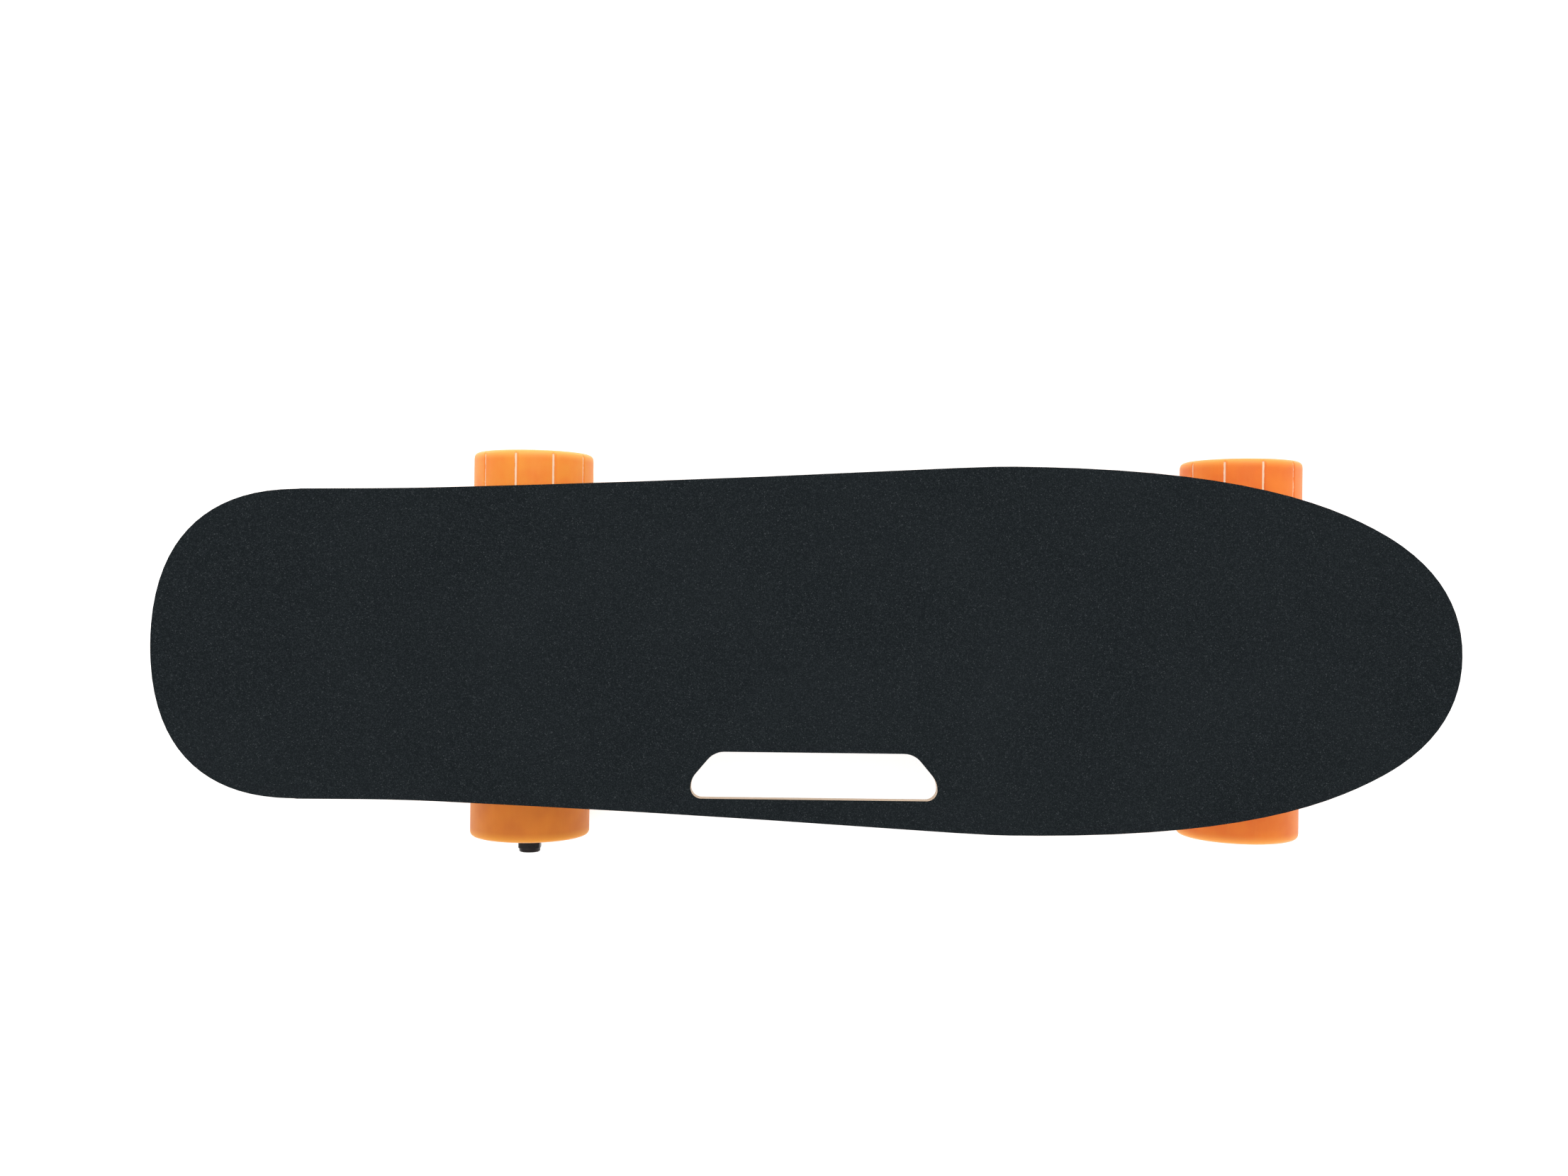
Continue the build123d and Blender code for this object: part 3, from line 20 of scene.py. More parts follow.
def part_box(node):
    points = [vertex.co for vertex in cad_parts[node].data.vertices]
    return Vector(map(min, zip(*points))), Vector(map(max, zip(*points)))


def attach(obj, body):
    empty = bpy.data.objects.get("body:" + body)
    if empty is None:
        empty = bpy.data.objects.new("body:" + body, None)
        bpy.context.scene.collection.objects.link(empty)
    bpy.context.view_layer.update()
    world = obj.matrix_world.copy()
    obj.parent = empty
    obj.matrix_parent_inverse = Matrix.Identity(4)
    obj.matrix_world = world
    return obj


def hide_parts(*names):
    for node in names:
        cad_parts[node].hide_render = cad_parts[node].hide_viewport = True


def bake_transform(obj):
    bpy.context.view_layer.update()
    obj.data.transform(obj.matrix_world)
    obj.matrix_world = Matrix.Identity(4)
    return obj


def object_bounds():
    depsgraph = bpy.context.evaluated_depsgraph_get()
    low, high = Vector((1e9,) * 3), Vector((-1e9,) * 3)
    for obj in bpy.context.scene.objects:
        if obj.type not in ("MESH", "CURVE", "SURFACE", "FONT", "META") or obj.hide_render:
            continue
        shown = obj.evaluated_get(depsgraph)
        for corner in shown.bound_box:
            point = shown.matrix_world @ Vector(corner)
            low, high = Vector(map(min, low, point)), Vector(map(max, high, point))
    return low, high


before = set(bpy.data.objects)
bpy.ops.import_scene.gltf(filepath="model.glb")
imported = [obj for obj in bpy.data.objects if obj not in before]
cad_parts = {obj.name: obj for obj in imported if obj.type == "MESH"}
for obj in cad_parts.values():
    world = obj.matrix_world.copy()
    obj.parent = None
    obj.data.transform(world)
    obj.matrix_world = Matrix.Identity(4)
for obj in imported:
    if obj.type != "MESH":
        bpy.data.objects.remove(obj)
CAD_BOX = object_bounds()
LOG = logging.getLogger("board")

Point = tuple[float, float]
Range = tuple[float, float]
Corner = tuple[float, float, float]
Place = tuple[float, float, float]
Colour = tuple[float, float, float]
MM = 0.001
COLOUR_RESULT = 2  # place of the colour among a Mix node's outputs
SAME_PLACE = 1e-7  # points nearer than this are one point
PACKED_SEAM = 2e-6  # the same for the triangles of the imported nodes


class Side(Enum):
    """Which way a piece on an axle faces."""

    LEFT = 1
    RIGHT = -1


class Body(Enum):
    """The moving bodies of the board."""

    BOARD = "board"
    FRONT_HANGER = "front_hanger"
    REAR_HANGER = "rear_hanger"
    FRONT_LEFT = "front_left_wheel"
    FRONT_RIGHT = "front_right_wheel"
    REAR_LEFT = "rear_left_wheel"
    MOTOR = "motor_wheel"


# ------------------------------------------------------------------ node building


def feed(tree: bpy.types.NodeTree, socket: bpy.types.NodeSocket, value: object) -> None:
    """Links or sets one socket.

    Args:
        tree: the tree that the socket is in.
        socket: the input.
        value: a Value, another node's socket, a colour or a plain value.
    """
    if isinstance(value, Value):
        tree.links.new(value.socket, socket)
    elif isinstance(value, bpy.types.NodeSocket):
        tree.links.new(value, socket)
    elif isinstance(value, tuple) and len(value) == 3 and socket.type == "RGBA":
        socket.default_value = (*value, 1.0)
    else:
        socket.default_value = value


class Value:
    """A number that varies over a surface. Python's operators on it add Math nodes."""

    def __init__(self, tree: bpy.types.NodeTree, socket: bpy.types.NodeSocket) -> None:
        """Keeps the tree and the socket that carries the number."""
        self.tree = tree
        self.socket = socket

    def math(self, operation: str, *operands: Value | float) -> Value:
        """Adds one Math node.

        Args:
            operation: Blender's name of the operation.
            *operands: its inputs, in order.

        Returns:
            The node's result.
        """
        node = self.tree.nodes.new("ShaderNodeMath")
        node.operation = operation
        for socket, operand in zip(node.inputs, operands):
            feed(self.tree, socket, operand)
        return Value(self.tree, node.outputs[0])

    def __add__(self, other: Value | float) -> Value:
        """Sum."""
        return self.math("ADD", self, other)

    __radd__ = __add__

    def __sub__(self, other: Value | float) -> Value:
        """Difference."""
        return self.math("SUBTRACT", self, other)

    def __rsub__(self, other: Value | float) -> Value:
        """Difference, the other way round."""
        return self.math("SUBTRACT", other, self)

    def __mul__(self, other: Value | float) -> Value:
        """Product."""
        return self.math("MULTIPLY", self, other)

    __rmul__ = __mul__

    def __truediv__(self, other: Value | float) -> Value:
        """Quotient."""
        return self.math("DIVIDE", self, other)

    def __gt__(self, other: Value | float) -> Value:
        """One where this is greater, else zero."""
        return self.math("GREATER_THAN", self, other)

    def __abs__(self) -> Value:
        """Size without sign."""
        return self.math("ABSOLUTE", self)

    def root(self) -> Value:
        """Square root."""
        return self.math("SQRT", self)

    def sine(self) -> Value:
        """Sine of radians."""
        return self.math("SINE", self)

    def fraction(self) -> Value:
        """Part after the point."""
        return self.math("FRACT", self)

    def whole(self) -> Value:
        """Largest whole number not above this."""
        return self.math("FLOOR", self)

    def angle_from(self, across: Value) -> Value:
        """Angle in radians whose tangent is this over the other."""
        return self.math("ARCTAN2", self, across)

    def _step(self, start: object, end: object, first: float, last: float) -> Value:
        """Smooth step.

        Args:
            start: where the step starts.
            end: where it ends, above the start.
            first: the result up to the start.
            last: the result from the end on.

        Returns:
            The result.
        """
        node = self.tree.nodes.new("ShaderNodeMapRange")
        node.interpolation_type = "SMOOTHSTEP"
        names = ("Value", "From Min", "From Max", "To Min", "To Max")
        for name, value in zip(names, (self, start, end, first, last)):
            feed(self.tree, node.inputs[name], value)
        return Value(self.tree, node.outputs["Result"])

    def between(self, low: float, high: float) -> Value:
        """Smooth step from zero at low to one at high, which may be below low."""
        return self._step(high, low, 1.0, 0.0) if low > high else self._step(low, high, 0.0, 1.0)

    def fading(self, low: Value | float, high: Value | float) -> Value:
        """Smooth step from one at low to zero at high."""
        return self._step(low, high, 1.0, 0.0)


@dataclass(frozen=True)
class Noise:
    """Sizes of a soft random pattern."""

    per_metre: float
    octaves: float = 3.0
    stretch: Sequence[float] | None = None


class NodeBuilder:
    """A node tree under construction."""

    def __init__(self, tree: bpy.types.NodeTree) -> None:
        """Keeps the tree."""
        self.tree = tree

    def node(self, kind: str, settings: dict[str, object], inputs: dict[object, object]) -> bpy.types.Node:
        """Adds any node.

        Args:
            kind: Blender's type name.
            settings: the node's own settings.
            inputs: socket identifier, name or index to what goes into it.

        Returns:
            The node.
        """
        node = self.tree.nodes.new(kind)
        for key, value in settings.items():
            setattr(node, key, value)
        sockets = {socket.identifier: socket for socket in node.inputs}
        for key, value in inputs.items():
            feed(self.tree, sockets.get(key) or node.inputs[key], value)
        return node

    def parts(self, vector: bpy.types.NodeSocket) -> list[Value]:
        """X, Y and Z of a vector."""
        split = self.node("ShaderNodeSeparateXYZ", {}, {"Vector": vector})
        return [Value(self.tree, socket) for socket in split.outputs]


class Paint(NodeBuilder):
    """One material under construction: a Principled shader and the nodes that feed it."""

    def __init__(self, name: str) -> None:
        """Starts a material with only its shader and output.

        Args:
            name: of the material.
        """
        self.material = bpy.data.materials.new(name)
        self.material.use_nodes = True
        super().__init__(self.material.node_tree)
        self.tree.nodes.clear()
        self.shader = self.tree.nodes.new("ShaderNodeBsdfPrincipled")
        output = self.tree.nodes.new("ShaderNodeOutputMaterial")
        self.tree.links.new(self.shader.outputs["BSDF"], output.inputs["Surface"])

    def place(self) -> bpy.types.NodeSocket:
        """Object coordinates."""
        return self.node("ShaderNodeTexCoord", {}, {}).outputs["Object"]

    def axes(self, origin: Sequence[float] = (0.0, 0.0, 0.0)) -> tuple[Value, Value, Value]:
        """Distances from a point along X, Y and Z."""
        return tuple(part - start for part, start in zip(self.parts(self.place()), origin))

    def noise(self, pattern: Noise) -> Value:
        """Makes a soft random pattern.

        Args:
            pattern: its sizes.

        Returns:
            About zero to one.
        """
        place = self.place()
        if pattern.stretch is not None:
            inputs = {"Vector": place, "Scale": tuple(pattern.stretch)}
            place = self.node("ShaderNodeMapping", {}, inputs).outputs["Vector"]
        inputs = {"Vector": place, "Scale": pattern.per_metre, "Detail": pattern.octaves}
        return Value(self.tree, self.node("ShaderNodeTexNoise", {}, inputs).outputs[0])

    def _voronoi(self, per_metre: float) -> bpy.types.Node:
        """Node of a cell pattern."""
        inputs = {"Vector": self.place(), "Scale": per_metre}
        return self.node("ShaderNodeTexVoronoi", {}, inputs)

    def cells(self, per_metre: float) -> Value:
        """Distance to the nearest cell's point."""
        return Value(self.tree, self._voronoi(per_metre).outputs["Distance"])

    def cell_numbers(self, per_metre: float) -> Value:
        """Picks a random number for each cell.

        Args:
            per_metre: cells in a metre.

        Returns:
            Zero to one.
        """
        colour = self._voronoi(per_metre).outputs["Color"]
        split = self.node("ShaderNodeSeparateColor", {}, {"Color": colour})
        return Value(self.tree, split.outputs["Red"])

    def blend(self, factor: Value | float, first: object, second: object) -> bpy.types.NodeSocket:
        """Mixes two colours."""
        inputs = {"Factor_Float": factor, "A_Color": first, "B_Color": second}
        return self.node("ShaderNodeMix", {"data_type": "RGBA"}, inputs).outputs[COLOUR_RESULT]

    def attribute(self, name: str) -> Value:
        """Number stored on the mesh."""
        node = self.node("ShaderNodeAttribute", {"attribute_name": name}, {})
        return Value(self.tree, node.outputs["Fac"])

    def bump(self, height: Value, depth: float, strength: float) -> None:
        """Raises the surface by a pattern.

        Args:
            height: the pattern.
            depth: what a height of one stands for.
            strength: of the effect.
        """
        inputs = {"Height": height, "Distance": depth, "Strength": strength}
        normal = self.node("ShaderNodeBump", {}, inputs).outputs["Normal"]
        self.set(Normal=normal)

    def set(self, **inputs: object) -> None:
        """Sets the shader's sockets; underscores in the names stand for spaces."""
        for key, value in inputs.items():
            feed(self.tree, self.shader.inputs[key.replace("_", " ")], value)


# ------------------------------------------------------------------ finishes

PAINTED: dict[str, bpy.types.Material] = {}


@dataclass(frozen=True)
class Finish:
    """A surface finish. Each kind of finish says how it is painted. A relief is a depth and a strength."""

    name: str

    def paint(self, p: Paint) -> None:
        """Fills in the material.

        Args:
            p: the material under construction.
        """
        raise NotImplementedError

    def material(self) -> bpy.types.Material:
        """Makes the material, or finds it again.

        Returns:
            The finish as a material.
        """
        if self.name not in PAINTED:
            p = Paint(f"finish_{self.name}")
            self.paint(p)
            PAINTED[self.name] = p.material
        return PAINTED[self.name]


@dataclass(frozen=True)
class GripTape(Finish):
    """Black sheet with silicon carbide grit."""

    sheet: Colour = (0.0082, 0.0108, 0.0124)
    grit: Colour = (0.0225, 0.0275, 0.0305)
    glint: Colour = (0.052, 0.058, 0.062)
    grains_per_metre: float = 2300.0
    clumps: Noise = Noise(420.0, 4.0)
    clouds: Noise = Noise(14.0, 2.0)
    pale_grains: Range = (0.35, 1.0)
    glinting_grains: Range = (0.972, 0.985)
    cloud_edge: Range = (0.3, 0.8)
    clump_share: float = 0.55
    glint_strength: float = 0.55
    cloud_strength: float = 0.12
    roughness: float = 0.90
    glint_polish: float = 0.35
    specular: float = 0.03
    grain_height: float = 0.7
    clump_height: float = 0.5
    relief: Range = (0.09 * MM, 0.6)

    def paint(self, p: Paint) -> None:
        """Fills in the material.

        Args:
            p: the material under construction.
        """
        grain = p.cell_numbers(self.grains_per_metre)
        shape = p.cells(self.grains_per_metre)
        clumps = p.noise(self.clumps)
        cloud = p.noise(self.clouds)
        clumped = (1.0 - self.clump_share) + self.clump_share * clumps
        tone = p.blend(grain.between(*self.pale_grains) * clumped, self.sheet, self.grit)
        bright = grain.between(*self.glinting_grains)
        tone = p.blend(bright * self.glint_strength, tone, self.glint)
        tone = p.blend(cloud.between(*self.cloud_edge) * self.cloud_strength, tone, self.grit)
        rough = self.roughness - bright * self.glint_polish
        p.set(Base_Color=tone, Roughness=rough, Specular_IOR_Level=self.specular)
        p.bump((1.0 - shape) * self.grain_height + clumps * self.clump_height, *self.relief)


@dataclass(frozen=True)
class Bend:
    """A bend of the deck. Its radius is at the standing surface; its way is -1 for the tail."""

    start: float
    radius: float
    angle: float
    way: int

    def depth(self, x: Value, z: Value) -> Value:
        """Depth under the standing surface, right only past the start of the bend.

        Args:
            x: distance along the board.
            z: height.

        Returns:
            The depth.
        """
        along = (x - self.start) * float(self.way)
        up = self.radius - z
        turn = math.radians(self.angle)
        straight = along * math.sin(turn) + up * math.cos(turn) - self.radius
        arc = (along * along + up * up).root() - self.radius
        past = (along * math.cos(turn) - up * math.sin(turn)) > 0.0
        return arc + past * (straight - arc)


@dataclass(frozen=True)
class MaplePly(Finish):
    """Seven maple plies under clear satin, which follow the deck's bends."""

    kick: Bend
    nose: Bend
    face: Colour = (0.68, 0.48, 0.285)
    streak: Colour = (0.52, 0.335, 0.175)
    end_grain: Colour = (0.58, 0.41, 0.25)
    glue: Colour = (0.30, 0.17, 0.08)
    pore: Colour = (0.33, 0.19, 0.09)
    ply: float = 1.5 * MM
    plies: int = 7
    top: float = 1.0 * MM
    long_grain: Noise = Noise(60.0, 5.0, (0.05, 1.0, 0.6))
    fine_grain: Noise = Noise(900.0, 3.0, (0.03, 1.0, 1.0))
    pores: Noise = Noise(2600.0, 2.0, (0.02, 1.0, 1.0))
    rays: Noise = Noise(1500.0, 2.0, (1.0, 1.0, 0.12))
    long_edge: Range = (0.36, 0.66)
    fine_edge: Range = (0.42, 0.72)
    pore_edge: Range = (0.60, 0.74)
    ray_edge: Range = (0.3, 0.7)
    seam_edge: Range = (0.40, 0.49)
    long_share: float = 0.65
    fine_share: float = 0.35
    pore_strength: float = 0.35
    ray_strength: float = 0.6
    glue_strength: float = 0.62
    top_skin: float = 0.04
    bottom_skin: float = 0.18
    roughness: float = 0.38
    grain_dulling: float = 0.12
    varnish: float = 0.25
    varnish_roughness: float = 0.25
    grain_height: float = 0.4
    seam_sink: float = 0.6
    relief: Range = (0.08 * MM, 0.6)

    def layer(self, x: Value, z: Value) -> Value:
        """Counts plies down from the top ply's face.

        Args:
            x: distance along the board.
            z: height.

        Returns:
            The count, with its part after the point.
        """
        depth = z * -1.0
        tail, nose = self.kick.depth(x, z), self.nose.depth(x, z)
        in_tail, in_nose = (self.kick.start - x) > 0.0, (x - self.nose.start) > 0.0
        depth = depth + in_tail * (tail - depth) + in_nose * (nose - depth)
        return (depth - self.top) / self.ply

    def paint(self, p: Paint) -> None:
        """Fills in the material.

        Args:
            p: the material under construction.
        """
        x, _, z = p.axes()
        layer = self.layer(x, z)
        cross = (layer.whole() * 0.5).fraction() * 2.0
        long, fine = p.noise(self.long_grain), p.noise(self.fine_grain)
        figure = long.between(*self.long_edge) * self.long_share
        figure = figure + fine.between(*self.fine_edge) * self.fine_share
        wood = p.blend(figure, self.face, self.streak)
        wood = p.blend(p.noise(self.pores).between(*self.pore_edge) * self.pore_strength, wood, self.pore)
        rays = p.noise(self.rays).between(*self.ray_edge)
        ends = p.blend(rays * self.ray_strength, self.end_grain, self.face)
        inner = (layer > self.top_skin) * (1.0 - (layer > self.plies - self.bottom_skin))
        wood = p.blend(cross * inner, wood, ends)
        seam = abs(layer.fraction() - 0.5).between(*self.seam_edge) * inner
        wood = p.blend(seam * self.glue_strength, wood, self.glue)
        p.set(Base_Color=wood, Roughness=self.roughness + self.grain_dulling * fine)
        p.set(Coat_Weight=self.varnish, Coat_Roughness=self.varnish_roughness)
        p.bump(fine * self.grain_height - seam * self.seam_sink, *self.relief)


@dataclass(frozen=True)
class Tone:
    """Colours of one cast batch of urethane. The lip colour is painted light on the rounded lip and also
    tints the scuffs; the darker colour makes the cloudy patches and the painted shadow beside the grooves.
    """

    body: Colour
    # the darker colour: cloudy patches, and the painted shadow beside the grooves
    cloud_and_groove_shade: Colour
    # painted light on the rounded lip, and the colour of scuffs
    lip: Colour


WARM = Tone((0.84, 0.290, 0.024), (0.82, 0.215, 0.016), (0.93, 0.47, 0.10))
RED = Tone((0.85, 0.215, 0.014), (0.78, 0.160, 0.010), (0.94, 0.39, 0.07))
GOLDEN = Tone((0.65, 0.188, 0.006), (0.57, 0.147, 0.004), (0.78, 0.32, 0.030))


@dataclass(frozen=True)
class Urethane(Finish):
    """Cast polyurethane: waxy, slightly cloudy, a little duller where it rolls."""

    tone: Tone
    centre: Place
    half_width: float
    grooved: bool = False
    radius: float = 35.0 * MM
    # painted highlight along the grooves
    groove: Colour = (0.97, 0.80, 0.62)
    clouds: Noise = Noise(55.0, 2.5)
    fine: Noise = Noise(1400.0, 4.0)
    streaks: Noise = Noise(320.0, 3.0, (1.0, 0.12, 1.0))
    jags: Noise = Noise(520.0, 2.0, (1.0, 0.7, 1.0))
    cloud_edge: Range = (0.3, 0.75)
    streak_edge: Range = (0.45, 0.8)
    groove_edge: Range = (0.35, 0.75)
    # The lip ranges and the lip strength lay painted light on the rounded lip.
    lip_from_side: Range = (6.0 * MM, 0.5 * MM)
    lip_from_tread: Range = (9.0 * MM, 3.0 * MM)
    rolled_from_tread: Range = (0.8 * MM, 0.2 * MM)
    lip_light_strength: float = 0.85
    streak_strength: float = 0.08
    shadow_strength: float = 0.55
    jag_height: float = 0.7
    jag_middle: float = 0.35
    roughness: float = 0.34
    rolled_dulling: float = 0.14
    fine_dulling: float = 0.10
    bending: float = 1.50
    specular: float = 0.38
    coat: Range = (0.07, 0.30)
    glow_in: float = 0.22
    glow_reach: Colour = (1.0, 0.38, 0.10)
    glow_depth: float = 4.0 * MM
    fine_height: float = 0.5
    streak_height: float = 0.8
    relief: Range = (0.05 * MM, 0.5)

    def marks(self, p: Paint, tone: bpy.types.NodeSocket) -> bpy.types.NodeSocket:
        """Paints the grooves over a tone: a painted highlight along each groove and a painted shadow beside
        it.

        Args:
            p: the material.
            tone: the colour so far.

        Returns:
            The colour with the grooves.
        """
        mark = p.attribute("groove")
        jag = p.noise(self.jags)
        # painted shadow beside each groove
        tone = p.blend(p.attribute("groove_edge") * self.shadow_strength, tone, self.tone.cloud_and_groove_shade)
        # painted highlight along each groove, with jagged edges
        pale = (mark + jag * self.jag_height - self.jag_middle).between(*self.groove_edge)
        return p.blend(pale, tone, self.groove)

    def paint(self, p: Paint) -> None:
        """Fills in the material.

        Args:
            p: the material under construction.
        """
        x, y, z = p.axes(self.centre)
        reach = (x * x + z * z).root()
        out = abs(y)
        clouds, fine, streaks = p.noise(self.clouds), p.noise(self.fine), p.noise(self.streaks)
        tone = p.blend(clouds.between(*self.cloud_edge), self.tone.body, self.tone.cloud_and_groove_shade)
        # painted light: the rounded lip is tinted lighter
        rounding = out.between(*(self.half_width - inset for inset in self.lip_from_side))
        rounding = rounding * reach.between(*(self.radius - inset for inset in self.lip_from_tread))
        tone = p.blend(rounding * self.lip_light_strength, tone, self.tone.lip)
        rolled = reach.between(*(self.radius - inset for inset in self.rolled_from_tread))
        scuffs = rolled * streaks.between(*self.streak_edge) * self.streak_strength
        tone = p.blend(scuffs, tone, self.tone.lip)
        if self.grooved:
            tone = self.marks(p, tone)
        rough = self.roughness + rolled * self.rolled_dulling + fine * self.fine_dulling
        p.set(Base_Color=tone, Roughness=rough, IOR=self.bending, Specular_IOR_Level=self.specular)
        p.set(Coat_Weight=self.coat[0], Coat_Roughness=self.coat[1], Subsurface_Weight=self.glow_in)
        p.set(Subsurface_Radius=self.glow_reach, Subsurface_Scale=self.glow_depth)
        p.bump(fine * self.fine_height + streaks * rolled * self.streak_height, *self.relief)


@dataclass(frozen=True)
class PaintedCasting(Finish):
    """Powder-coated cast metal with a fine orange peel."""

    coat: Colour = (0.020, 0.020, 0.022)
    dust: Colour = (0.065, 0.064, 0.062)
    roughness: float = 0.36
    peel_per_metre: float = 950.0
    grain: Noise = Noise(2400.0, 3.0)
    patches: Noise = Noise(48.0, 4.0)
    dust_edge: Range = (0.5, 0.85)
    dust_strength: float = 0.35
    patch_dulling: float = 0.16
    grain_dulling: float = 0.08
    gloss: Range = (0.2, 0.2)
    peel_height: float = 0.8
    grain_height: float = 0.5
    relief: Range = (0.14 * MM, 0.7)

    def paint(self, p: Paint) -> None:
        """Fills in the material.

        Args:
            p: the material under construction.
        """
        peel, grain, patches = p.cells(self.peel_per_metre), p.noise(self.grain), p.noise(self.patches)
        tone = p.blend(patches.between(*self.dust_edge) * self.dust_strength, self.coat, self.dust)
        rough = self.roughness + self.patch_dulling * patches + self.grain_dulling * grain
        p.set(Base_Color=tone, Roughness=rough, Coat_Weight=self.gloss[0], Coat_Roughness=self.gloss[1])
        p.bump(peel * self.peel_height + grain * self.grain_height, *self.relief)


@dataclass(frozen=True)
class TurnedMetal(Finish):
    """Metal turned round the Y axis, with fine rings left by the tool."""

    centre: Place
    colour: Colour = (0.50, 0.50, 0.51)
    tarnish: Colour = (0.34, 0.335, 0.33)
    roughness: float = 0.28
    rings_per_metre: float = 3200.0
    wobble: Noise = Noise(26.0, 2.0)
    wobble_size: float = 0.4 * MM
    feed_of_tool: float = 0.35
    smears: Noise = Noise(90.0, 4.0)
    smear_edge: Range = (0.35, 0.8)
    smear_strength: float = 0.6
    smear_dulling: float = 0.10
    ring_dulling: float = 0.04
    relief: Range = (0.012 * MM, 0.5)

    def paint(self, p: Paint) -> None:
        """Fills in the material.

        Args:
            p: the material under construction.
        """
        x, y, z = p.axes(self.centre)
        reach = (x * x + z * z).root()
        wobble = p.noise(self.wobble) * self.wobble_size
        rings = ((reach + y * self.feed_of_tool + wobble) * (self.rings_per_metre * math.tau)).sine()
        smear = p.noise(self.smears)
        tone = p.blend(smear.between(*self.smear_edge) * self.smear_strength, self.colour, self.tarnish)
        rough = self.roughness + self.smear_dulling * smear + self.ring_dulling * rings
        p.set(Base_Color=tone, Metallic=1.0, Roughness=rough)
        p.bump(rings, *self.relief)


@dataclass(frozen=True)
class PlatedSteel(Finish):
    """Plated or oxidised steel of small fasteners."""

    colour: Colour = (0.56, 0.57, 0.58)
    shade: Colour = (0.36, 0.36, 0.35)
    roughness: float = 0.30
    metallic: float = 1.0
    bloom: Noise = Noise(180.0, 4.0)
    fine: Noise = Noise(3000.0, 3.0)
    bloom_edge: Range = (0.35, 0.75)
    bloom_dulling: float = 0.16
    fine_dulling: float = 0.06
    relief: Range = (0.02 * MM, 0.4)

    def paint(self, p: Paint) -> None:
        """Fills in the material.

        Args:
            p: the material under construction.
        """
        bloom, fine = p.noise(self.bloom), p.noise(self.fine)
        tone = p.blend(bloom.between(*self.bloom_edge), self.colour, self.shade)
        rough = self.roughness + self.bloom_dulling * bloom + self.fine_dulling * fine
        p.set(Base_Color=tone, Metallic=self.metallic, Roughness=rough)
        p.bump(fine, *self.relief)


@dataclass(frozen=True)
class Moulded(Finish):
    """Moulded plastic or rubber with a fine spark-eroded grain."""

    colour: Colour = (0.022, 0.022, 0.024)
    shade: Colour = (0.034, 0.034, 0.036)
    roughness: float = 0.52
    grains_per_metre: float = 1500.0
    depth: float = 0.06 * MM
    coat: float = 0.0
    coat_roughness: float = 0.15
    finer: float = 1.7
    wipes: Noise = Noise(32.0, 3.0)
    wipe_edge: Range = (0.35, 0.75)
    wipe_strength: float = 0.6
    fine_strength: float = 0.2
    wipe_dulling: float = 0.10
    grain_polish: float = 0.06
    grain_height: float = 0.8
    fine_height: float = 0.5
    relief_strength: float = 0.6

    def paint(self, p: Paint) -> None:
        """Fills in the material.

        Args:
            p: the material under construction.
        """
        grain = p.cells(self.grains_per_metre)
        fine = p.noise(Noise(self.grains_per_metre * self.finer))
        wipe = p.noise(self.wipes)
        share = wipe.between(*self.wipe_edge) * self.wipe_strength + fine * self.fine_strength
        rough = self.roughness + self.wipe_dulling * wipe - self.grain_polish * grain
        p.set(Base_Color=p.blend(share, self.colour, self.shade), Roughness=rough)
        p.set(Coat_Weight=self.coat, Coat_Roughness=self.coat_roughness)
        p.bump(grain * self.grain_height + fine * self.fine_height, self.depth, self.relief_strength)


@dataclass(frozen=True)
class Foam(Finish):
    """Closed-cell foam strip, with painted shade in the pits of its pores."""

    colour: Colour = (0.028, 0.028, 0.029)
    # painted shade in the pits of the pores
    pore: Colour = (0.008, 0.008, 0.008)
    pores_per_metre: float = 1300.0
    pore_edge: Range = (0.15, 0.55)
    roughness: float = 0.92
    relief: Range = (0.3 * MM, 0.9)

    def paint(self, p: Paint) -> None:
        """Fills in the material.

        Args:
            p: the material under construction.
        """
        # the pits get the painted shade colour and sink in the bump
        pores = p.cells(self.pores_per_metre).between(*self.pore_edge)
        p.set(Base_Color=p.blend(pores, self.pore, self.colour), Roughness=self.roughness)
        p.bump(pores, *self.relief)


@dataclass(frozen=True)
class Bearing(Finish):
    """Ground race with a dark sealed shield between its two rings."""

    centre: Place
    seal_inner: float = 6.4 * MM
    seal_outer: float = 9.25 * MM
    steel: Colour = (0.62, 0.62, 0.63)
    smeared: Colour = (0.40, 0.40, 0.40)
    seal: Colour = (0.035, 0.033, 0.032)
    seal_edge: float = 0.1 * MM
    rings_per_metre: float = 2600.0
    smears: Noise = Noise(150.0, 3.0)
    smear_strength: float = 0.3
    roughness: float = 0.22
    seal_dulling: float = 0.25
    smear_dulling: float = 0.1
    crease: Range = (0.5 * MM, 0.2 * MM)
    ring_height: float = 0.05
    crease_sink: float = 0.9
    seal_sink: float = 0.6
    relief: Range = (0.2 * MM, 0.7)

    def paint(self, p: Paint) -> None:
        """Fills in the material.

        Args:
            p: the material under construction.
        """
        x, _, z = p.axes(self.centre)
        reach = (x * x + z * z).root()
        shield = reach.between(self.seal_inner - self.seal_edge, self.seal_inner)
        shield = shield * reach.between(self.seal_outer + self.seal_edge, self.seal_outer)
        rings = (reach * (self.rings_per_metre * math.tau)).sine()
        smear = p.noise(self.smears)
        metal = p.blend(smear * self.smear_strength, self.steel, self.smeared)
        rough = self.roughness + self.seal_dulling * shield + self.smear_dulling * smear
        p.set(Base_Color=p.blend(shield, metal, self.seal), Metallic=1.0 - shield, Roughness=rough)
        middle = (self.seal_inner + self.seal_outer) / 2
        crease = abs(reach - middle).between(*self.crease)
        p.bump(rings * self.ring_height - crease * self.crease_sink - shield * self.seal_sink, *self.relief)


